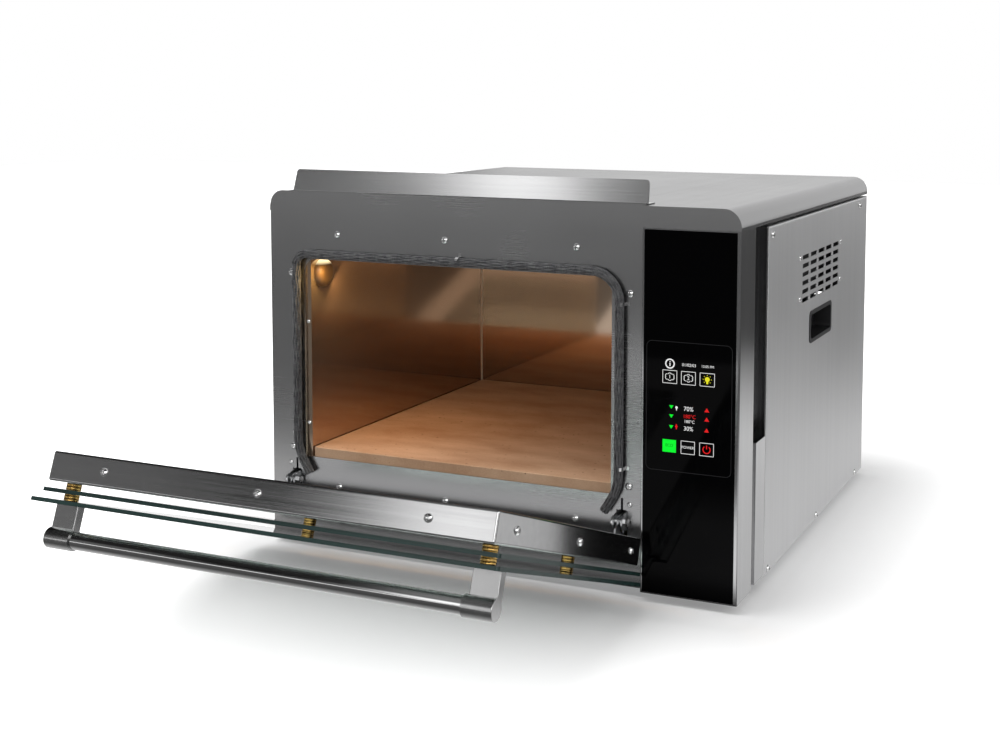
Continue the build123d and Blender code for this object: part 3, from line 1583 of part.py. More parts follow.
pieces = {
    "base_tray": base_tray(),
    "feet": feet(),
    "top_cover": top_cover(),
    "visor": visor(),
    "side_panel_right": side_panel(1),
    "side_panel_left": side_panel(-1),
    "grip_cups": Compound(children=[grip_cup(1), grip_cup(-1)]),
    "vent_baffle": vent_backing(),
    "back_panel": back_panel(),
    "front_plate": front_plate(),
    "front_screws": front_screws(),
    "panel_screws": panel_screws(),
    "back_screws": back_screws(),
    "column_shell": column_shell(),
    "column_glass": column_glass(),
    "recess_filler": recess_filler(),
    "touch_display": touch_display(),
    "control_board": control_board(),
    "oven_liner": oven_liner(),
    "jamb_screws": jamb_screws(),
    "baking_stone": baking_stone(),
    "stone_rails": stone_rails(),
    "upper_heater": heater(upper_heater_z, upper_heater_setback),
    "lower_heater": heater(lower_heater_z, heater_margin),
    "heater_clips": heater_clips(),
    "lamp_holder": lamp_holder(),
    "lamp_glass": lamp_glass(),
    "temperature_probe": temperature_probe(),
    "steam_pipe": steam_pipe(),
    "chamber_stands": chamber_stands(),
    "insulation": insulation(),
    "partition_wall": partition(),
    "door_seal": door_seal(),
    "seal_clips": seal_clips(),
    "cooling_fan_frame": fan_frame(),
    "cooling_fan_rotor": fan_rotor(),
    "cable_gland": cable_gland(),
    "contactor": contactor(),
    "power_relays": power_relays(),
    "terminal_block": terminal_block(),
    "limit_thermostat": limit_thermostat(),
    "door_tray": door_tray(),
    "door_inner_frame": door_inner_frame(),
    "door_inner_glass": door_inner_glass(),
    "door_pane_inner": pane(inner_pane_overhang, inner_pane_face, inner_pane_top, pane_notch_heights[0]),
    "door_pane_outer": pane(outer_pane_overhang, outer_pane_face, outer_pane_top, pane_notch_heights[1]),
    "door_spacers": spacers(),
    "door_pane_bolts": pane_bolts(),
    "door_pane_caps": pane_caps(),
    "door_screws": door_screws(),
    "handle_posts": Compound(children=[handle_post(-1), handle_post(1)]),
    "handle_bar": handle_bar(),
}
for name, x in zip(("left", "right"), hinge_x):
    pieces[f"hinge_bracket_{name}"] = hinge_bracket(x)
    pieces[f"hinge_arm_{name}"] = hinge_arm(x)
pieces["hinge_pins"] = Compound(children=[hinge_pin(x) for x in hinge_x])
pieces["hinge_stop_bolts"] = Compound(children=[stop_bolt(x) for x in hinge_x])

os.makedirs("parts", exist_ok=True)
for name, piece in pieces.items():
    export_step(piece, f"parts/{name}.step")
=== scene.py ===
import bpy
import bmesh
from math import cos, pi, radians, sin
from mathutils import Matrix, Vector


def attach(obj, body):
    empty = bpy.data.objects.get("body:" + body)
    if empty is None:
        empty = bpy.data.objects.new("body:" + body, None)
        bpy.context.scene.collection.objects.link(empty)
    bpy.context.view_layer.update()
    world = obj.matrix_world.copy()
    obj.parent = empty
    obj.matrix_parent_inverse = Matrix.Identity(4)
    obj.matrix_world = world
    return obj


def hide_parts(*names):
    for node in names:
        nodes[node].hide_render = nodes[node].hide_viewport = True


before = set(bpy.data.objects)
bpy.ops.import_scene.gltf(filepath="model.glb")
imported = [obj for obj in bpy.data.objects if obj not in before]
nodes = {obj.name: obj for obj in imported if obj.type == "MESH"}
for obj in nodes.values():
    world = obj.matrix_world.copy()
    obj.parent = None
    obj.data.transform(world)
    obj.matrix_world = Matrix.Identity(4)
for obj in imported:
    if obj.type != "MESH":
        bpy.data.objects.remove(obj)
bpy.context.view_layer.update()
scene = bpy.context.scene
print("frame loaded with", len(nodes), "pieces")


# A node's sockets by name or number: a Signal is linked, any other value is typed in
def fill(tree, node, sockets):
    for label, value in sockets.items():
        slot = node.inputs[label]
        if isinstance(value, Signal):
            tree.links.new(value.socket, slot)
        else:
            slot.default_value = (*value, 1.0) if slot.type == "RGBA" else value


# Node maths: a socket that takes part in Python expressions
class Signal:
    def __init__(self, tree, socket):
        self.tree = tree
        self.socket = socket

    def join(self, operation, *values):
        node = self.tree.nodes.new("ShaderNodeMath")
        node.operation = operation
        fill(self.tree, node, dict(enumerate(values)))
        return Signal(self.tree, node.outputs[0])

    def __add__(self, other):
        return self.join("ADD", self, other)

    def __radd__(self, other):
        return self.join("ADD", other, self)

    def __sub__(self, other):
        return self.join("SUBTRACT", self, other)

    def __rsub__(self, other):
        return self.join("SUBTRACT", other, self)

    def __mul__(self, other):
        return self.join("MULTIPLY", self, other)

    def __rmul__(self, other):
        return self.join("MULTIPLY", other, self)

    def __truediv__(self, other):
        return self.join("DIVIDE", self, other)

    def __mod__(self, other):
        return self.join("MODULO", self, other)

    def __neg__(self):
        return self.join("SUBTRACT", 0.0, self)

    def __abs__(self):
        return self.join("ABSOLUTE", self)

    def wave(self, shape="SINE"):
        return self.join(shape, self)

    def between(self, low, high):
        return self.join("GREATER_THAN", self, low) * self.join("LESS_THAN", self, high)

    def above(self, low):
        return self.join("GREATER_THAN", self, low)

    def atLeast(self, low):
        return self.join("MAXIMUM", self, low)

    def atMost(self, high):
        return self.join("MINIMUM", self, high)

    def root(self):
        return self.join("SQRT", self)

    # 0 below the first value, 1 above the second, a straight slope between them
    def slope(self, low, high):
        return ((self - low) / (high - low)).atLeast(0.0).atMost(1.0)

    # Another output of the same node
    def twin(self, label):
        return Signal(self.tree, self.socket.node.outputs[label])


# What shader trees and geometry trees have in common
class Tree:
    def __init__(self, tree):
        self.tree = tree

    def node(self, kind, settings=None, sockets=None, output=0):
        node = self.tree.nodes.new(kind)
        for label, value in (settings or {}).items():
            if label == "stops":
                ramp = node.color_ramp.elements
                while len(ramp) < len(value):
                    ramp.new(0.5)
                for stop, (place, shade) in zip(ramp, value):
                    stop.position = place
                    stop.color = (*shade, 1.0)
            else:
                setattr(node, label, value)
        fill(self.tree, node, sockets or {})
        return Signal(self.tree, node.outputs[output])

    # Several links into one socket
    def pour(self, target, label, *signals):
        for signal in signals:
            self.tree.links.new(signal.socket, target.socket.node.inputs[label])
        return target

    def axes(self, vector):
        first = self.node("ShaderNodeSeparateXYZ", {}, {"Vector": vector})
        return [first.twin(label) for label in "XYZ"]

    def point(self, x=0.0, y=0.0, z=0.0):
        return self.node("ShaderNodeCombineXYZ", {}, {"X": x, "Y": y, "Z": z})

    def vector(self, operation, *values, scale=None):
        sockets = dict(enumerate(values))
        if scale is not None:
            sockets["Scale"] = scale
        return self.node("ShaderNodeVectorMath", {"operation": operation}, sockets)


# A material with one Principled shader and the nodes that feed it
class Finish(Tree):
    def __init__(self, name, **uniform):
        self.material = bpy.data.materials.new(name)
        self.material.use_nodes = True
        super().__init__(self.material.node_tree)
        self.shader = self.tree.nodes["Principled BSDF"]
        for label, value in uniform.items():
            self.feed(label.replace("_", " "), value)

    def feed(self, label, value):
        fill(self.tree, self.shader, {label: value})

    def place(self, scale=(1.0, 1.0, 1.0)):
        spot = self.node("ShaderNodeTexCoord", output="Object")
        return self.node("ShaderNodeMapping", {}, {"Vector": spot, "Scale": scale})

    def noise(self, vector, scale, detail=3.0, roughness=0.5):
        sockets = {"Vector": vector, "Scale": scale, "Detail": detail, "Roughness": roughness}
        return self.node("ShaderNodeTexNoise", {}, sockets)

    def ramp(self, factor, *stops):
        return self.node("ShaderNodeValToRGB", {"stops": stops}, {"Fac": factor})

    def blend(self, factor, first, second):
        sockets = {0: factor, 6: first, 7: second}
        return self.node("ShaderNodeMix", {"data_type": "RGBA"}, sockets, 2)

    def relief(self, height, distance):
        sockets = {"Height": height, "Distance": distance, "Strength": 1.0}
        self.feed("Normal", self.node("ShaderNodeBump", {}, sockets))


def scaled(values, share):
    return tuple(value * share for value in values)


# Brushed sheet: fine streaks along one axis over a slow change of tone
def brushedSheet(name, tone, roughness, along="X", grain=1100.0, streak=0.10, relief=0.000012,
                 cloudy=0.3, uneven=0.12, metallic=1.0, weld=None):
    finish = Finish(name, Metallic=metallic)
    stretch = {"X": (2.5, grain, grain), "Y": (grain, 2.5, grain), "Z": (grain, grain, 2.5)}[along]
    streaks = finish.noise(finish.place(stretch), 1.0, 3.0, 0.65)
    bands = finish.noise(finish.place(scaled(stretch, 0.12)), 1.0, 2.0)
    cloud = finish.noise(finish.place(), 4.0)
    light = tuple(min(1.0, value) for value in scaled(tone, 1.0 + streak))
    mixed = streaks * (0.7 - cloudy) + bands * 0.3 + cloud * cloudy
    shade = finish.ramp(mixed, (0.32, scaled(tone, 1.0 - streak)), (0.68, light))
    polish = streaks * uneven + cloud * 0.10 + (roughness - uneven / 2 - 0.05)
    if weld:
        spotX, spotY, _ = finish.axes(finish.place())
        seam = (1.0 - spotX.above(weld["x"])) * spotY.above(weld["y"])
        shade = finish.blend(seam, shade, weld["tone"])
        polish = polish + seam * weld["dull"]
    finish.feed("Base Color", shade)
    finish.feed("Roughness", polish)
    finish.relief(streaks * 0.8 + bands, relief)
    return finish.material


def plainMetal(name, tone, roughness):
    finish = Finish(name, Metallic=1.0)
    speck = finish.noise(finish.place(), 260.0)
    cloud = finish.noise(finish.place(), 25.0, 2.0)
    mixed = cloud * 0.6 + speck * 0.4
    finish.feed("Base Color", finish.ramp(mixed, (0.35, scaled(tone, 0.88)), (0.65, tone)))
    finish.feed("Roughness", speck * 0.14 + cloud * 0.06 + (roughness - 0.10))
    finish.relief(speck, 0.00003)
    return finish.material


def mouldedPlastic(name, tone, roughness, grain=700.0, relief=0.00005):
    finish = Finish(name)
    speck = finish.noise(finish.place(), grain, 2.0)
    cloud = finish.noise(finish.place(), 14.0, 2.0)
    finish.feed("Base Color", finish.ramp(cloud, (0.3, scaled(tone, 0.82)), (0.7, tone)))
    finish.feed("Roughness", speck * 0.14 + (roughness - 0.07))
    finish.relief(speck, relief)
    return finish.material


# The finishes: tone and roughness, and for a sheet the way it is brushed
sheetLook = {
    "casing steel": {"tone": (0.64, 0.64, 0.645), "roughness": 0.48, "along": "Z", "streak": 0.06},
    "cover steel": {"tone": (0.28, 0.28, 0.283), "roughness": 0.24, "along": "Y"},
    "front plate steel": {
        "tone": (0.39, 0.39, 0.393), "roughness": 0.26, "streak": 0.04, "relief": 0.000001,
        "cloudy": 0.5, "uneven": 0.03,
    },
    "door steel": {
        "tone": (0.46, 0.46, 0.463), "roughness": 0.15, "streak": 0.14, "relief": 0.000006,
    },
    "visor steel": {
        "tone": (0.46, 0.46, 0.463), "roughness": 0.14, "streak": 0.12, "relief": 0.000004,
        "uneven": 0.06,
    },
    "column steel": {
        "tone": (0.50, 0.50, 0.505), "roughness": 0.15, "along": "Z", "relief": 0.000006,
    },
    "mirror steel": {
        "tone": (0.54, 0.41, 0.305), "roughness": 0.08, "grain": 500.0, "streak": 0.06,
        "relief": 0.000001, "uneven": 0.04, "metallic": 0.88,
        "weld": {"x": -0.2403, "y": 0.1483, "tone": (0.95, 0.85, 0.72), "dull": 0.4},
    },
    "handle tube": {
        "tone": (0.44, 0.44, 0.44), "roughness": 0.09, "relief": 0.000001, "uneven": 0.03,
    },
    "handle posts": {
        "tone": (0.42, 0.42, 0.42), "roughness": 0.22, "along": "Z", "relief": 0.000006,
    },
}
metalLook = {
    "zinc plate": {"tone": (0.50, 0.51, 0.52), "roughness": 0.34},
    "bright screws": {"tone": (0.82, 0.82, 0.82), "roughness": 0.16},
    "dark caps": {"tone": (0.10, 0.10, 0.10), "roughness": 0.35},
    "heating tube": {"tone": (0.17, 0.15, 0.14), "roughness": 0.48},
    "shaded baffle": {"tone": (0.05, 0.05, 0.05), "roughness": 0.5},
}
plasticLook = {
    "black plastic": {"tone": (0.012, 0.012, 0.013), "roughness": 0.42},
    "pale plastic": {"tone": (0.55, 0.54, 0.50), "roughness": 0.5},
    "circuit board": {"tone": (0.02, 0.13, 0.05), "roughness": 0.4},
    "black rubber": {"tone": (0.015, 0.015, 0.015), "roughness": 0.7},
    "white ceramic": {"tone": (0.75, 0.73, 0.69), "roughness": 0.35},
    "mineral wool": {
        "tone": (0.45, 0.38, 0.20), "roughness": 0.9, "grain": 300.0, "relief": 0.0006,
    },
}
finishes = {name: brushedSheet(name, **look) for name, look in sheetLook.items()}
finishes.update({name: plainMetal(name, **look) for name, look in metalLook.items()})
finishes.update({name: mouldedPlastic(name, **look) for name, look in plasticLook.items()})

doorLook = {"openAngle": 69.9}  # how far the door stands open in the frame, in degrees
leaning = radians(doorLook["openAngle"])
throughDoor = Vector((0.0, cos(leaning), sin(leaning)))  # across the thickness of its panes

# Turned brass spacers: grooves at a steady pitch along the line through the panes, painted shade in
# them
brassLook = {"light": (0.70, 0.45, 0.15), "grooveShade": (0.16, 0.08, 0.015), "pitch": 0.0030}
brass = Finish("turned brass", Metallic=1.0)
_, spotY, spotZ = brass.axes(brass.place())
depth = spotY * throughDoor.y + spotZ * throughDoor.z
turned = (depth * (2.0 * pi / brassLook["pitch"])).wave() * 0.5 + 0.5
tarnish = brass.noise(brass.place(), 300.0)
mixed = turned * 0.8 + tarnish * 0.2
# Painted shade: the colour darkens towards the bottom of each groove
shade = brass.ramp(mixed, (0.12, brassLook["grooveShade"]), (0.45, brassLook["light"]))
brass.feed("Base Color", shade)
brass.feed("Roughness", tarnish * 0.10 + 0.06)
brass.relief(turned, 0.0004)
finishes["turned brass"] = brass.material

# Baking stone: fired clay with fine grit and darker specks
stoneLook = {"light": (0.66, 0.44, 0.29), "dark": (0.46, 0.27, 0.16), "speck": (0.22, 0.11, 0.06)}
stone = Finish("baking stone")
grit = stone.noise(stone.place(), 620.0)
clay = stone.noise(stone.place((1.0, 2.2, 1.0)), 9.0, 4.0, 0.6)
mixed = clay * 0.75 + grit * 0.25
fired = stone.ramp(mixed, (0.34, stoneLook["dark"]), (0.66, stoneLook["light"]))
dots = stone.noise(stone.place(), 240.0, 1.0).slope(0.72, 0.78)
stone.feed("Base Color", stone.blend(dots, fired, stoneLook["speck"]))
stone.feed("Roughness", grit * 0.2 + 0.75)
stone.relief(grit * 0.6 + clay, 0.00025)
finishes["baking stone"] = stone.material

# Clear glass with a hint of green, and the dark green of its cut edges
glassLook = {"tint": (0.93, 0.98, 0.96), "edge": (0.016, 0.040, 0.036), "edgeShade": 0.55}
clearGlass = Finish("clear glass", Base_Color=glassLook["tint"], IOR=1.5, Transmission_Weight=1.0)
haze = clearGlass.noise(clearGlass.place(), 60.0, 2.0)
clearGlass.feed("Roughness", haze * 0.03 + 0.01)
finishes["clear glass"] = clearGlass.material
cutEdge = Finish("clear glass rim", Roughness=0.25, Specular_IOR_Level=0.4)
scratches = cutEdge.noise(cutEdge.place((6.0, 300.0, 300.0)), 1.0, 2.0)
edgeDark = scaled(glassLook["edge"], glassLook["edgeShade"])
cutEdge.feed("Base Color", cutEdge.ramp(scratches, (0.3, edgeDark), (0.7, glassLook["edge"])))
finishes["clear glass rim"] = cutEdge.material

# The lamp's glass glows at its top, where the filament is, and darkens down to its tip
lampLook = {
    "glow": (1.0, 0.80, 0.45), "dim": (0.030, 0.014, 0.005), "glass": (0.05, 0.03, 0.015),
    "lit": (0.3455, 0.350), "strength": 1.6,
}
lampGlass = Finish(
    "lamp glass", Base_Color=lampLook["glass"], Roughness=0.3,
    Emission_Strength=lampLook["strength"],
)
ripple = lampGlass.noise(lampGlass.place(), 90.0, 2.0)
lit = lampGlass.axes(lampGlass.place())[2].slope(*lampLook["lit"]) * (ripple * 0.4 + 0.8)
shade = lampGlass.ramp(lit, (0.0, lampLook["dim"]), (1.0, lampLook["glow"]))
lampGlass.feed("Emission Color", shade)
finishes["lamp glass"] = lampGlass.material

blackGlass = Finish("black glass", Base_Color=(0.0010, 0.0010, 0.0012), Specular_IOR_Level=0.05)
smear = blackGlass.noise(blackGlass.place(), 18.0)
blackGlass.feed("Roughness", smear * 0.08 + 0.03)
finishes["black glass"] = blackGlass.material

# Which finish each piece wears
wornBy = {
    "casing steel": ["side_panel_right", "side_panel_left", "back_panel"],
    "cover steel": ["top_cover"],
    "column steel": ["column_shell", "recess_filler"],
    "visor steel": ["visor"],
    "front plate steel": ["front_plate"],
    "door steel": ["door_tray", "door_inner_frame"],
    "mirror steel": ["oven_liner"],
    "handle tube": ["handle_bar"],
    "handle posts": ["handle_posts", "steam_pipe"],
    "zinc plate": [
        "base_tray", "partition_wall", "chamber_stands", "stone_rails", "heater_clips",
        "hinge_bracket_left", "hinge_bracket_right", "hinge_arm_left", "hinge_arm_right",
        "hinge_pins",
    ],
    "bright screws": ["door_pane_bolts", "hinge_stop_bolts", "seal_clips"],
    "dark caps": ["door_pane_caps"],
    "shaded baffle": ["vent_baffle"],
    "heating tube": ["upper_heater", "lower_heater", "temperature_probe"],
    "black plastic": [
        "grip_cups", "cooling_fan_frame", "cooling_fan_rotor", "cable_gland", "touch_display",
        "contactor", "power_relays", "limit_thermostat",
    ],
    "pale plastic": ["terminal_block"],
    "circuit board": ["control_board"],
    "black rubber": ["feet"],
    "white ceramic": ["lamp_holder"],
    "mineral wool": ["insulation"],
    "turned brass": ["door_spacers"],
    "baking stone": ["baking_stone"],
    "clear glass": ["door_pane_inner", "door_pane_outer", "door_inner_glass"],
    "lamp glass": ["lamp_glass"],
    "black glass": ["column_glass"],
}
for finishName, pieces in wornBy.items():
    for name in pieces:
        nodes[name].data.materials.clear()
        nodes[name].data.materials.append(finishes[finishName])

# The faces of a piece that wear a second finish; two of these are painted light and shade
secondLook = {"fasciaFacing": -0.9, "flangeFront": -0.19, "flangeFacing": 0.7, "rimFacing": 0.5}


def addSecond(name, finishName, picks):
    mesh = nodes[name].data
    mesh.materials.append(finishes[finishName])
    for face in mesh.polygons:
        face.material_index = int(picks(face))


def isFascia(face):
    return face.normal.y < secondLook["fasciaFacing"]


def isFlange(face):
    ahead = face.center.y < secondLook["flangeFront"]
    return ahead and abs(face.normal.x) < secondLook["flangeFacing"]


def isRim(face):
    return abs(face.normal.dot(throughDoor)) <= secondLook["rimFacing"]


# Painted light: the top cover's front faces wear the paler front plate steel, so they look lighter
addSecond("top_cover", "front plate steel", isFascia)
# Painted shade: the side panel's recess flange wears the glossier, darker column steel
addSecond("side_panel_right", "column steel", isFlange)
for name in wornBy["clear glass"]:
    addSecond(name, "clear glass rim", isRim)
print("finishes made:", len(finishes))


# A geometry tree with named sizes, run once on an object and turned into a plain mesh
class Recipe(Tree):
    def __init__(self, name, **sizes):
        super().__init__(bpy.data.node_groups.new(name, "GeometryNodeTree"))
        self.sizes = sizes
        self.labels = {}
        face = self.tree.interface
        for way in ("INPUT", "OUTPUT"):
            face.new_socket(name="Geometry", in_out=way, socket_type="NodeSocketGeometry")
        for label in sizes:
            socket = face.new_socket(name=label, in_out="INPUT", socket_type="NodeSocketFloat")
            self.labels[label] = socket.identifier
        self.entry = self.tree.nodes.new("NodeGroupInput")
        self.result = self.tree.nodes.new("NodeGroupOutput")
        self.start = self.size("Geometry")

    def size(self, label):
        return Signal(self.tree, self.entry.outputs[label])

    def finish(self, geometry, material):
        whole = self.node("GeometryNodeRealizeInstances", {}, {"Geometry": geometry})
        sockets = {"Geometry": whole, "Material": material}
        painted = self.node("GeometryNodeSetMaterial", {}, sockets)
        fill(self.tree, self.result, {"Geometry": painted})

    def bake(self, obj, name):
        step = obj.modifiers.new(name, "NODES")
        step.node_group = self.tree
        for label, value in self.sizes.items():
            step[self.labels[label]] = value
        mesh = plainMesh(obj)
        return seed(name, mesh)


def seed(name, data):
    obj = bpy.data.objects.new(name, data)
    scene.collection.objects.link(obj)
    return obj


# The mesh that an object shows, without the object and its modifiers
def plainMesh(obj):
    bpy.context.view_layer.update()
    shown = obj.evaluated_get(bpy.context.evaluated_depsgraph_get())
    mesh = bpy.data.meshes.new_from_object(shown)
    bpy.data.objects.remove(obj)
    return mesh


# Braided rope seal, in millimetres. Its middle line starts at the lower left and goes round
# clockwise: each run is a straight length or a bend of (radius, turn in degrees).
ropeLook = {
    "start": (-240.93, 93.48), "heading": 122.0, "depth": -304.2,
    "runs": [
        15.0, (60.0, -32.0), 209.0, (14.0, -90.0), 371.0, (34.0, -90.0), 189.0, (60.0, -32.0), 15.0,
    ],
    "bendStep": 3.0, "straightStep": 30.0, "step": 1.6,
    "radius": 4.4, "strand": 0.85, "strandSides": 5, "strands": 16, "pitch": 260.0, "weave": 0.2,
    "core": 3.6, "coreSides": 14,
    "dark": (0.04, 0.04, 0.042), "light": (0.20, 0.20, 0.205),
}


def ropeLine(look):
    x, z = look["start"]
    heading = radians(look["heading"])
    line = [(x, z)]
    for run in look["runs"]:
        if isinstance(run, tuple):
            turn = radians(run[1])
            length = run[0] * abs(turn)
            count = max(2, round(length / look["bendStep"]))
        else:
            turn, length = 0.0, run
            count = max(2, round(length / look["straightStep"]))
        for _ in range(count):
            heading += turn / count / 2
            x += cos(heading) * length / count
            z += sin(heading) * length / count
            heading += turn / count / 2
            line.append((x, z))
    return line


ropeCurve = bpy.data.curves.new("rope line", "CURVE")
ropeCurve.dimensions = "3D"
ropePoints = ropeLine(ropeLook)
ropeSpline = ropeCurve.splines.new("POLY")
ropeSpline.points.add(len(ropePoints) - 1)
for point, (x, z) in zip(ropeSpline.points, ropePoints):
    point.co = (x / 1000, ropeLook["depth"] / 1000, z / 1000, 1.0)

ropeFinish = Finish("glass fibre rope", Specular_IOR_Level=0.3)
fuzz = ropeFinish.noise(ropeFinish.place(), 900.0, 3.0, 0.7)
yarn = ropeFinish.noise(ropeFinish.place(), 160.0, 2.0)
mixed = yarn * 0.3 + fuzz * 0.7
shade = ropeFinish.ramp(mixed, (0.38, ropeLook["dark"]), (0.66, ropeLook["light"]))
ropeFinish.feed("Base Color", shade)
ropeFinish.feed("Roughness", fuzz * 0.3 + 0.4)
ropeFinish.relief(fuzz, 0.0002)

braid = Recipe(
    "rope braid", Step=ropeLook["step"] / 1000, Radius=ropeLook["radius"] / 1000,
    Strand=ropeLook["strand"] / 1000, Pitch=ropeLook["pitch"] / 1000,
    Weave=ropeLook["weave"] / 1000, Strands=float(ropeLook["strands"]),
    Core=ropeLook["core"] / 1000,
)
even = braid.node(
    "GeometryNodeResampleCurve", {"mode": "LENGTH"},
    {"Curve": braid.start, "Length": braid.size("Step")},
)
copies = braid.node(
    "GeometryNodeDuplicateElements", {"domain": "SPLINE"},
    {0: even, "Amount": braid.size("Strands")},
)
index = copies.twin("Duplicate Index")
run = braid.node("GeometryNodeSplineParameter", output=1)
family = (index % 2.0) * 2.0 - 1.0  # half of the strands wind one way, half the other
lead = run / braid.size("Pitch") * (2.0 * pi)
angle = lead * family + (index - index % 2.0) / braid.size("Strands") * (2.0 * pi)
overUnder = (lead * braid.size("Strands") / 2.0).wave("COSINE") * family
reach = braid.size("Radius") + overUnder * braid.size("Weave")
side = braid.node("GeometryNodeInputNormal")
other = braid.vector("CROSS_PRODUCT", braid.node("GeometryNodeInputTangent"), side)
shift = braid.vector(
    "ADD", braid.vector("SCALE", side, scale=reach * angle.wave("COSINE")),
    braid.vector("SCALE", other, scale=reach * angle.wave()),
)
moved = braid.node("GeometryNodeSetPosition", {}, {"Geometry": copies, "Offset": shift})
strandShape = braid.node(
    "GeometryNodeCurvePrimitiveCircle", {},
    {"Resolution": ropeLook["strandSides"], "Radius": braid.size("Strand")},
)
coreShape = braid.node(
    "GeometryNodeCurvePrimitiveCircle", {},
    {"Resolution": ropeLook["coreSides"], "Radius": braid.size("Core")},
)
strands = braid.node(
    "GeometryNodeCurveToMesh", {},
    {"Curve": moved, "Profile Curve": strandShape, "Fill Caps": True},
)
core = braid.node(
    "GeometryNodeCurveToMesh", {}, {"Curve": even, "Profile Curve": coreShape, "Fill Caps": True}
)
both = braid.pour(braid.node("GeometryNodeJoinGeometry"), 0, core, strands)
smooth = braid.node("GeometryNodeSetShadeSmooth", {}, {"Geometry": both, "Shade Smooth": True})
braid.finish(smooth, ropeFinish.material)
rope = braid.bake(seed("rope line", ropeCurve), "rope_seal")
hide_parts("door_seal")
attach(rope, "casing")
print("rope braided:", len(rope.data.polygons), "faces")

# Screws in metres: a domed head with a cross recess at each screw of the frame
screwLook = {
    "shank": 0.0018, "shankLength": 0.004, "shankSides": 12, "segments": 24, "rings": 14,
    "recessWidth": 0.26, "recessLength": 1.15, "recessDepth": 0.6,
    "seam": 0.00001, "crown": 0.00005, "brim": 0.97, "widestRoll": 1.5,
}


# Where each screw of a frame piece sits: its seat, its aim, and its head's radius and height
def screwSeats(name, look):
    source = bmesh.new()
    source.from_mesh(nodes[name].data)
    bmesh.ops.remove_doubles(source, verts=source.verts, dist=look["seam"])
    waiting = set(source.verts)
    seats = []
    for first in source.verts:
        if first not in waiting:
            continue
        waiting.discard(first)
        part = [first]
        for vertex in part:
            near = [edge.other_vert(vertex) for edge in vertex.link_edges]
            fresh = [other for other in near if other in waiting]
            waiting.difference_update(fresh)
            part.extend(fresh)
        areas = {}
        for face in dict.fromkeys(face for vertex in part for face in vertex.link_faces):
            key = tuple(round(value, 2) for value in face.normal)
            areas[key] = areas.get(key, 0.0) + face.calc_area()
        aim = -Vector(max(areas, key=areas.get)).normalized()
        heights = [vertex.co.dot(aim) for vertex in part]
        highest = max(heights)
        crown = [vertex.co for vertex in part if vertex.co.dot(aim) > highest - look["crown"]]
        top = sum(crown, Vector()) / len(crown)
        radii = [((vertex.co - top) - aim * (vertex.co - top).dot(aim)).length for vertex in part]
        radius = max(radii)
        brim = min(height for height, r in zip(heights, radii) if r > radius * look["brim"])
        seats.append((top - aim * (highest - brim), aim, radius, highest - brim))
    source.free()
    return seats


def screwTree(name, radius, height, look):
    tree = Recipe(name, Radius=radius, Height=height)
    wide, high = tree.size("Radius"), tree.size("Height")
    ball = tree.node(
        "GeometryNodeMeshUVSphere", {},
        {"Segments": look["segments"], "Rings": look["rings"], "Radius": wide},
    )
    dome = tree.node(
        "GeometryNodeTransform", {}, {"Geometry": ball, "Scale": tree.point(1.0, 1.0, high / wide)}
    )
    under = wide * 2.4  # a block that takes the lower half of the ball away
    long, thin = wide * look["recessLength"], wide * look["recessWidth"]
    deep = high * look["recessDepth"] * 2.0
    tools = []
    cutters = (
        ((under, under, under), wide * -1.2),
        ((long, thin, deep), high),
        ((thin, long, deep), high),
    )
    for sizes, lift in cutters:
        block = tree.node("GeometryNodeMeshCube", {}, {"Size": tree.point(*sizes)})
        sockets = {"Geometry": block, "Translation": tree.point(z=lift)}
        tools.append(tree.node("GeometryNodeTransform", {}, sockets))
    cut = tree.node("GeometryNodeMeshBoolean", {"operation": "DIFFERENCE"}, {"Mesh 1": dome})
    tree.pour(cut, "Mesh 2", *tools)
    rise = tree.axes(tree.node("GeometryNodeInputNormal"))[2]
    head = tree.node(
        "GeometryNodeSetShadeSmooth", {},
        {"Geometry": cut, "Selection": rise.between(0.02, 0.995), "Shade Smooth": True},
    )
    stem = tree.node(
        "GeometryNodeMeshCylinder", {},
        {"Vertices": look["shankSides"], "Radius": look["shank"], "Depth": look["shankLength"]},
    )
    sockets = {"Geometry": stem, "Translation": tree.point(z=-look["shankLength"] / 2)}
    lowered = tree.node("GeometryNodeTransform", {}, sockets)
    whole = tree.pour(tree.node("GeometryNodeJoinGeometry"), 0, head, lowered)
    aim = tree.node(
        "GeometryNodeInputNamedAttribute", {"data_type": "FLOAT_VECTOR"}, {"Name": "aim"}
    )
    turn = tree.node("FunctionNodeAlignRotationToVector", {"axis": "Z"}, {"Vector": aim})
    sockets = {2: 0.0, 3: look["widestRoll"], "Seed": 7}
    roll = tree.node("FunctionNodeRandomValue", {"data_type": "FLOAT"}, sockets, 1)
    twist = tree.node(
        "FunctionNodeRotateRotation", {"rotation_space": "LOCAL"},
        {"Rotation": turn, "Rotate By": tree.point(z=roll)},
    )
    rows = tree.node(
        "GeometryNodeInstanceOnPoints", {},
        {"Points": tree.start, "Instance": whole, "Rotation": twist},
    )
    tree.finish(rows, finishes["bright screws"])
    return tree


screwBodies = {
    "front_screws": "casing", "panel_screws": "casing", "back_screws": "casing",
    "jamb_screws": "casing", "door_screws": "door",
}
for name, body in screwBodies.items():
    groups = {}  # one row for each size of head
    for seat, aim, radius, height in screwSeats(name, screwLook):
        groups.setdefault((round(radius, 4), round(height, 4)), []).append((seat, aim))
    for number, ((radius, height), seats) in enumerate(sorted(groups.items())):
        points = bpy.data.meshes.new(name + " seats")
        points.from_pydata([seat for seat, aim in seats], [], [])
        aims = points.attributes.new("aim", "FLOAT_VECTOR", "POINT")
        for entry, (seat, aim) in zip(aims.data, seats):
            entry.vector = aim
        tree = screwTree(name + " row", radius, height, screwLook)
        piece = tree.bake(seed(name + " seats", points), name + "_heads" + (str(number or "")))
        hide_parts(name)
        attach(piece, body)
        size = f"{radius * 1000:.2f} x {height * 1000:.2f} mm"
        print(piece.name, len(seats), "screws", size)

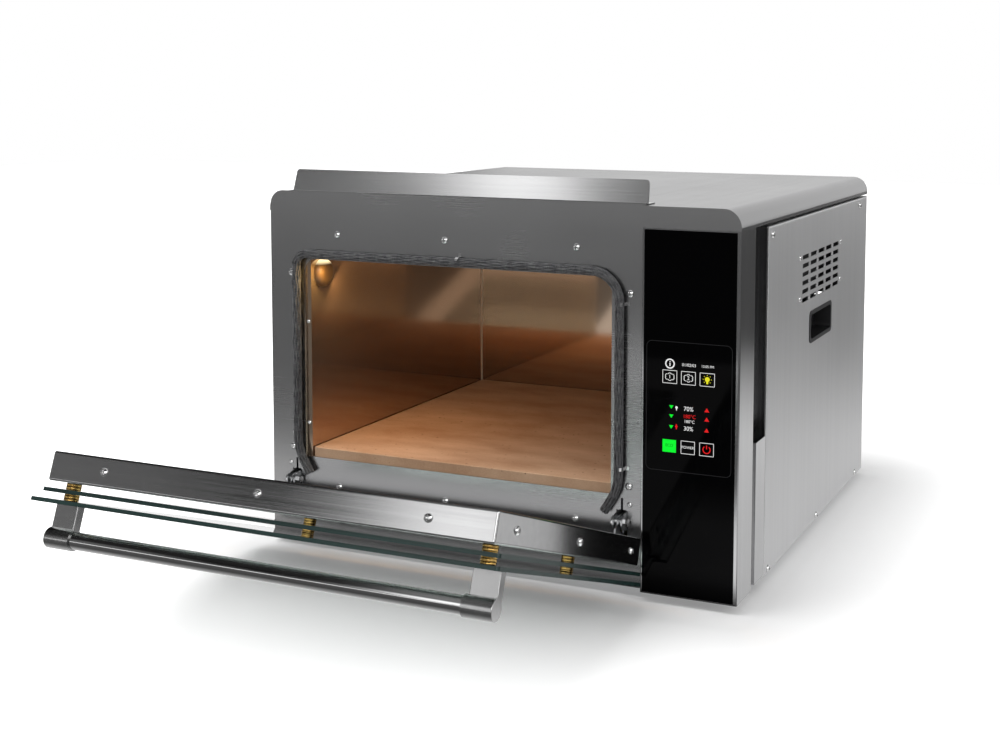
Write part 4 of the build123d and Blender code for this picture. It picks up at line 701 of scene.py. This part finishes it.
# Lit signs of the touch display, just in front of the black glass: x and z in millimetres
displayLook = {
    "face": -309.78, "lift": {"shadow": 0.03}, "line": 0.55, "pixels": 2400.0,
    "panel": (195.3, 291.5, 149.0, 290.0), "panelRadius": 6.0, "panelLine": 0.7,
    "columns": ((213.9, 229.9), (235.0, 250.9), (256.0, 272.2)),
    "icons": (245.0, 259.0), "buttons": (169.6, 183.4), "rows": (219.5, 209.5, 197.7),
    "rings": [("white", (222.0, 266.2), 4.8, 1.4)],
    "strips": [
        ("white", (222.0, 263.6), (222.0, 267.2), 1.1),
        ("white", (222.0, 268.0), (222.0, 269.0), 1.1),
        ("white", (229.9, 216.0), (229.9, 219.2), 1.0),
        ("red", (229.9, 195.4), (229.9, 201.0), 1.2),
    ],
    "discs": [("white", (229.9, 219.2), 1.4), ("red", (229.9, 198.4), 1.4)],
    "words": [
        ("white", "01/02/03", (243.6, 266.0), 2.7), ("white", "12:05 PM", (264.4, 266.0), 2.3),
        ("white", "70%", (243.5, 218.4), 4.0), ("red", "180°C", (244.5, 210.2), 3.4),
        ("white", "180°C", (244.5, 204.8), 2.8), ("white", "30%", (243.5, 197.0), 4.0),
    ],
}
displayShades = {
    "white": (0.92, 0.92, 0.92), "green": (0.0, 0.98, 0.03), "red": (0.80, 0.012, 0.012),
    "yellow": (0.85, 0.80, 0.02), "shadow": (0.0, 0.12, 0.005), "rim": (0.012, 0.012, 0.013),
}
displayShapes = {shade: [] for shade in displayShades}


def aside(middle, x, z):
    return Vector((middle[0] + x, middle[1] + z))


def onCircle(middle, radius, degrees):
    return aside(middle, cos(radians(degrees)) * radius, sin(radians(degrees)) * radius)


def patch(shade, corners):
    displayShapes[shade].append([Vector(corner) for corner in corners])


def strip(shade, start, end, width):
    a, b = Vector(start), Vector(end)
    side = (b - a).orthogonal().normalized() * width / 2
    patch(shade, [a + side, a - side, b - side, b + side])


def outline(shade, corners, width):
    for start, end in zip(corners, corners[1:] + corners[:1]):
        strip(shade, start, end, width)


def ring(shade, middle, radius, width, first=0.0, last=360.0, count=28):
    spots = [
        onCircle(middle, radius, first + (last - first) * step / count) for step in range(count + 1)
    ]
    for start, end in zip(spots, spots[1:]):
        strip(shade, start, end, width)


def disc(shade, middle, radius, count=24):
    patch(shade, [onCircle(middle, radius, 360 * step / count) for step in range(count)])


def words(shade, text, middle, height):
    font = bpy.data.curves.new(text, "FONT")
    font.body = text
    font.align_x = "CENTER"
    font.align_y = "CENTER"
    font.size = height * 1.65  # capitals then stand as high as asked
    mesh = plainMesh(seed(text, font))
    for face in mesh.polygons:
        corners = [mesh.vertices[index].co for index in face.vertices]
        patch(shade, [aside(middle, corner.x, corner.y) for corner in corners])
    bpy.data.meshes.remove(mesh)


def boxCorners(left, right, low, high):
    return [(left, low), (right, low), (right, high), (left, high)]


def roundedBox(span, radius, count=6):
    left, right, low, high = span
    spots = []
    for x, z, first in (
        (right - radius, high - radius, 0), (left + radius, high - radius, 90),
        (left + radius, low + radius, 180), (right - radius, low + radius, 270),
    ):
        spots += [onCircle((x, z), radius, first + 90 * step / count) for step in range(count + 1)]
    return spots


# Steam cloud of six petals round a number
def cloudSign(middle, number):
    for petal in range(6):
        toward = radians(60 * petal + 30)
        spot = aside(middle, cos(toward) * 3.5, sin(toward) * 2.3)
        ring("white", spot, 1.9, 0.65, 60 * petal - 45, 60 * petal + 105, 10)
    words("white", str(number), middle, 3.4)


# Light bulb with eight rays
def bulbSign(middle):
    bulb = aside(middle, 0.0, 0.4)
    disc("yellow", bulb, 2.7)
    strip("yellow", aside(middle, 0.0, -4.4), aside(middle, 0.0, -2.0), 2.2)
    for ray in range(8):
        strip("yellow", onCircle(bulb, 3.9, 45 * ray), onCircle(bulb, 5.0, 45 * ray), 0.6)


def powerSign(middle):
    ring("red", middle, 4.0, 1.1, -230, 50)
    strip("red", aside(middle, 0.0, 0.6), aside(middle, 0.0, 4.6), 1.1)


panelEdge = roundedBox(displayLook["panel"], displayLook["panelRadius"])
outline("rim", panelEdge, displayLook["panelLine"])
for draw, signs in ((ring, "rings"), (strip, "strips"), (disc, "discs"), (words, "words")):
    for sign in displayLook[signs]:
        draw(*sign)
for z in displayLook["rows"]:
    patch("green", [(221.5, z + 1.6), (224.0, z - 2.2), (226.5, z + 1.6)])
    patch("red", [(261.3, z - 2.4), (266.7, z - 2.4), (264.0, z + 2.0)])
for column, (left, right) in enumerate(displayLook["columns"]):
    middle = ((left + right) / 2, sum(displayLook["icons"]) / 2)
    outline("white", boxCorners(left, right, *displayLook["icons"]), displayLook["line"])
    if column < 2:
        cloudSign(middle, column + 1)
    else:
        bulbSign(middle)
for column, (left, right) in enumerate(displayLook["columns"]):
    left, right = left + 0.4, right - 0.2
    middle = ((left + right) / 2, sum(displayLook["buttons"]) / 2)
    corners = boxCorners(left, right, *displayLook["buttons"])
    if column == 0:
        patch("green", corners)
        words("shadow", "ECO", aside(middle, 0.0, 0.6), 2.6)
    else:
        outline("white", corners, displayLook["line"])
    if column == 1:
        words("white", "POWER", middle, 2.5)
    if column == 2:
        powerSign(middle)

signMesh = bpy.data.meshes.new("display_signs")
signVertices, signFaces, signSlots = [], [], []
for number, (name, shapes) in enumerate(displayShapes.items()):
    glow = Finish(
        "display " + name, Base_Color=(0.003, 0.003, 0.003), Roughness=0.4,
        Specular_IOR_Level=0.1, Emission_Strength=1.0,
    )
    pixels = glow.noise(glow.place(), displayLook["pixels"], 1.0)
    bright = displayShades[name]
    glow.feed("Emission Color", glow.ramp(pixels, (0.2, scaled(bright, 0.8)), (0.6, bright)))
    signMesh.materials.append(glow.material)
    front = displayLook["face"] - displayLook["lift"].get(name, 0.0)
    for corners in shapes:
        first = len(signVertices)
        signVertices += [(spot.x / 1000, front / 1000, spot.y / 1000) for spot in corners]
        signFaces.append(list(range(first, first + len(corners))))
        signSlots.append(number)
signMesh.from_pydata(signVertices, [], signFaces)
for face, number in zip(signMesh.polygons, signSlots):
    face.material_index = number
build = bmesh.new()
build.from_mesh(signMesh)
for face in build.faces:
    if face.normal.y > 0:  # every sign looks forward
        face.normal_flip()
build.to_mesh(signMesh)
build.free()
signs = seed("display_signs", signMesh)
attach(signs, "casing")
print("display drawn:", len(signMesh.polygons), "faces")

# Camera at the photograph's angle: degrees, metres, and the lens in millimetres
cameraLook = {
    "place": (0.72887, -1.73205, 0.55810), "yaw": 23.24, "pitch": 4.72, "roll": 0.26,
    "lens": 51.21, "sensor": 36.0, "shiftX": -0.0817, "shiftY": -0.1674, "reach": 50.0,
}
yaw, pitch, tilt = (radians(cameraLook[key]) for key in ("yaw", "pitch", "roll"))
ahead = Vector((-sin(yaw) * cos(pitch), cos(yaw) * cos(pitch), -sin(pitch)))
level = Vector((cos(yaw), sin(yaw), 0.0))
upright = level.cross(ahead)
across = level * cos(tilt) + upright * sin(tilt)
upright = upright * cos(tilt) - level * sin(tilt)
camera = seed("camera", bpy.data.cameras.new("camera"))
turn = Matrix((across, upright, -ahead)).transposed().to_4x4()
camera.matrix_world = Matrix.Translation(cameraLook["place"]) @ turn
camera.data.lens = cameraLook["lens"]
camera.data.sensor_width = cameraLook["sensor"]
camera.data.shift_x = cameraLook["shiftX"]
camera.data.shift_y = cameraLook["shiftY"]
camera.data.clip_end = cameraLook["reach"]
scene.camera = camera

# Soft studio lamps, and the two warm ones in the oven; mirrors and glass don't show them
lamps = {
    "key": {
        "place": (-0.9, -0.5, 2.6), "aim": (0.0, 0.0, 0.2), "size": (2.4, 2.4), "power": 50.0,
    },
    "fill": {
        "place": (-2.4, -2.2, 1.2), "aim": (0.0, -0.2, 0.2), "size": (1.6, 1.8), "power": 14.0,
    },
    "side": {
        "place": (2.6, -0.9, 1.4), "aim": (0.2, 0.0, 0.2), "size": (1.2, 1.6), "power": 12.0,
    },
    "oven lamp": {
        "place": (-0.226, -0.262, 0.335), "aim": (0.0, -0.10, 0.18), "size": (0.03, 0.03),
        "power": 0.27, "tone": (1.0, 0.55, 0.22),
    },
    "jamb glow": {
        "place": (-0.222, -0.295, 0.342), "aim": (-0.242, -0.294, 0.30), "size": (0.012, 0.012),
        "power": 0.06, "tone": (1.0, 0.62, 0.20),
    },
}
for name, look in lamps.items():
    data = bpy.data.lights.new(name, "AREA")
    data.shape = "RECTANGLE"
    data.size, data.size_y = look["size"]
    data.energy = look["power"]
    data.color = look.get("tone", (1.0, 1.0, 1.0))
    light = seed(name, data)
    beam = Vector(look["aim"]) - Vector(look["place"])
    light.location = look["place"]
    light.rotation_euler = beam.to_track_quat("-Z", "Y").to_euler()
    light.visible_glossy = False
    light.visible_transmission = False
    light.visible_camera = False


# Rays straight from the camera, or from it through glass, see a plain white studio. Those that
# left a mirror, also when they pass glass after it, see the cards; the third mask is for those
# that left two mirrors.
def sortRays(tree):
    seen = tree.node("ShaderNodeLightPath", output="Is Camera Ray")
    through = seen.twin("Is Transmission Ray")
    bounces = seen.twin("Glossy Depth")
    bounced = bounces.above(0.5)
    plain = (seen + through * (1.0 - bounced)).atMost(1.0)
    mirrored = (seen.twin("Is Glossy Ray") + through * bounced).atMost(1.0)
    return plain, mirrored, bounces.above(1.5)


# Mirrors see dark cards, by the way the ray goes: in front of the oven a bright upright strip,
# a line at the horizon, a window to the right and a darker gap, and behind it a pale card. A
# dark lid closes them overhead. Each pair is where a card begins and ends.
cardLook = {
    "level": 0.55, "tone": 0.20, "behind": (-0.15, 0.25), "lid": (0.40, 0.55), "lidShade": 0.85,
    "strip": 2.6, "stripAt": -0.436, "stripLean": 0.010, "stripLeans": (0.22, 0.28),
    "stripEdge": (0.028, 0.048), "stripFoot": (0.14, 0.17),
    "horizon": 1.8, "horizonFoot": (0.01, 0.03), "horizonTop": (0.10, 0.12),
    "window": 4.0, "windowEdge": (-0.02, 0.03), "windowSpan": (0.30, 0.62),
    "gapShade": 0.85, "gapAt": -0.560, "gapEdge": (0.03, 0.07), "gapSpan": (0.25, 0.60),
    "rear": 0.9, "rearDark": 0.05, "rearEdge": (-0.50, -0.44), "twice": 0.24, "twiceLid": 1.45,
}
world = bpy.data.worlds.new("studio")
world.use_nodes = True
scene.world = world
sky = Tree(world.node_tree)
plainRay, mirrored, twice = sortRays(sky)
wayX, wayY, wayZ = sky.axes(sky.node("ShaderNodeTexCoord", output="Generated"))
behind = wayY.slope(*cardLook["behind"])
lid = wayZ.slope(*cardLook["lid"])
fromStrip = wayX - cardLook["stripAt"]
fromStrip = fromStrip + wayZ.slope(*cardLook["stripLeans"]) * cardLook["stripLean"]
stripMask = 1.0 - abs(fromStrip).slope(*cardLook["stripEdge"])
stripMask = stripMask * wayZ.slope(*cardLook["stripFoot"])
horizonMask = wayZ.slope(*cardLook["horizonFoot"]) * (1.0 - wayZ.slope(*cardLook["horizonTop"]))
windowMask = wayX.slope(*cardLook["windowEdge"]) * wayZ.between(*cardLook["windowSpan"])
windowMask = windowMask * (1.0 - behind)
gapMask = 1.0 - abs(wayX - cardLook["gapAt"]).slope(*cardLook["gapEdge"])
gapMask = gapMask * wayZ.between(*cardLook["gapSpan"])
inFront = cardLook["tone"] * (1.0 - gapMask * cardLook["gapShade"])
inFront = inFront + stripMask * (cardLook["strip"] - cardLook["tone"])
inFront = inFront + horizonMask * (cardLook["horizon"] - cardLook["tone"])
rear = wayX.slope(*cardLook["rearEdge"]) * (1.0 - cardLook["rearDark"]) + cardLook["rearDark"]
cards = inFront * (1.0 - behind) + rear * behind * cardLook["rear"]
cards = cards * (1.0 - lid * cardLook["lidShade"]) + windowMask * cardLook["window"]
cards = cards * (1.0 - twice) + twice * (cardLook["twice"] + lid * cardLook["twiceLid"])
lighting = mirrored * cards + (1.0 - mirrored) * cardLook["level"]
strength = plainRay + (1.0 - plainRay) * lighting
background = world.node_tree.nodes["Background"]
fill(world.node_tree, background, {"Color": (1.0, 1.0, 1.0), "Strength": strength})

# Pale floor: it glows to white away from the oven, and keeps the oven's shadow near it, where the
# glow drops as painted shade. In mirrors it is dark, with a dim glow beside the oven that fades out
# in front of the plate as a painted shadow, and another glow under the open door.
floorLook = {
    "size": 14.0, "tone": 0.80, "glow": 0.16, "footprint": (0.0, -0.01, 0.30, 0.32),
    "far": (0.02, 0.36), "rearward": (0.25, 1.1), "inFront": (0.66, 0.78),
    "contact": (0.34, 0.40), "contactFrom": -0.30,
    "doorFrom": (0.38, 0.43), "doorTo": (0.60, 0.68), "doorSides": (0.28, 0.34),
    "mirror": 0.40, "doorMirror": 0.45, "mirrorDark": 0.95, "mirrorDim": 0.5, "mirrorFront": 0.06,
}
half = floorLook["size"] / 2
floorMesh = bpy.data.meshes.new("floor")
corners = [(x, y, 0.0) for x, y in boxCorners(-half, half, -half, half)]
floorMesh.from_pydata(corners, [], [(0, 1, 2, 3)])
floor = seed("floor", floorMesh)
pale = Finish("pale floor", Roughness=0.7, Specular_IOR_Level=0.2, Emission_Strength=1.0)
plainRay, mirrored, _ = sortRays(pale)
spotX, spotY, _ = pale.axes(pale.place())
middleX, middleY, halfX, halfY = floorLook["footprint"]
outX = (abs(spotX - middleX) - halfX).atLeast(0.0)
outY = (abs(spotY - middleY) - halfY).atLeast(0.0)
away = (outX * outX + outY * outY).root()
forward = -spotY
far = away.slope(*floorLook["far"])
inFront = forward.slope(*floorLook["inFront"])
# Painted shadow: in mirrors the floor's glow fades out just in front of the front plate
contact = forward.slope(*floorLook["contact"]) + spotY.above(floorLook["contactFrom"])
dim = (1.0 - inFront) * (1.0 - away.slope(*floorLook["rearward"])) * contact.atMost(1.0)
underDoor = forward.slope(*floorLook["doorFrom"]) * (1.0 - forward.slope(*floorLook["doorTo"]))
underDoor = underDoor * (1.0 - abs(spotX).slope(*floorLook["doorSides"]))
plainGlow = plainRay * (far + (1.0 - far) * floorLook["glow"])
mirrorGlow = mirrored * (dim * floorLook["mirror"] + underDoor * floorLook["doorMirror"])
darker = floorLook["mirrorDark"] - dim * floorLook["mirrorDim"]
darker = mirrored * (darker - inFront * floorLook["mirrorFront"])
pale.feed("Base Color", (1.0 - darker) * floorLook["tone"])
pale.feed("Emission Color", plainGlow + mirrorGlow)
floorMesh.materials.append(pale.material)
scene.view_settings.view_transform = "Standard"
print("studio set")
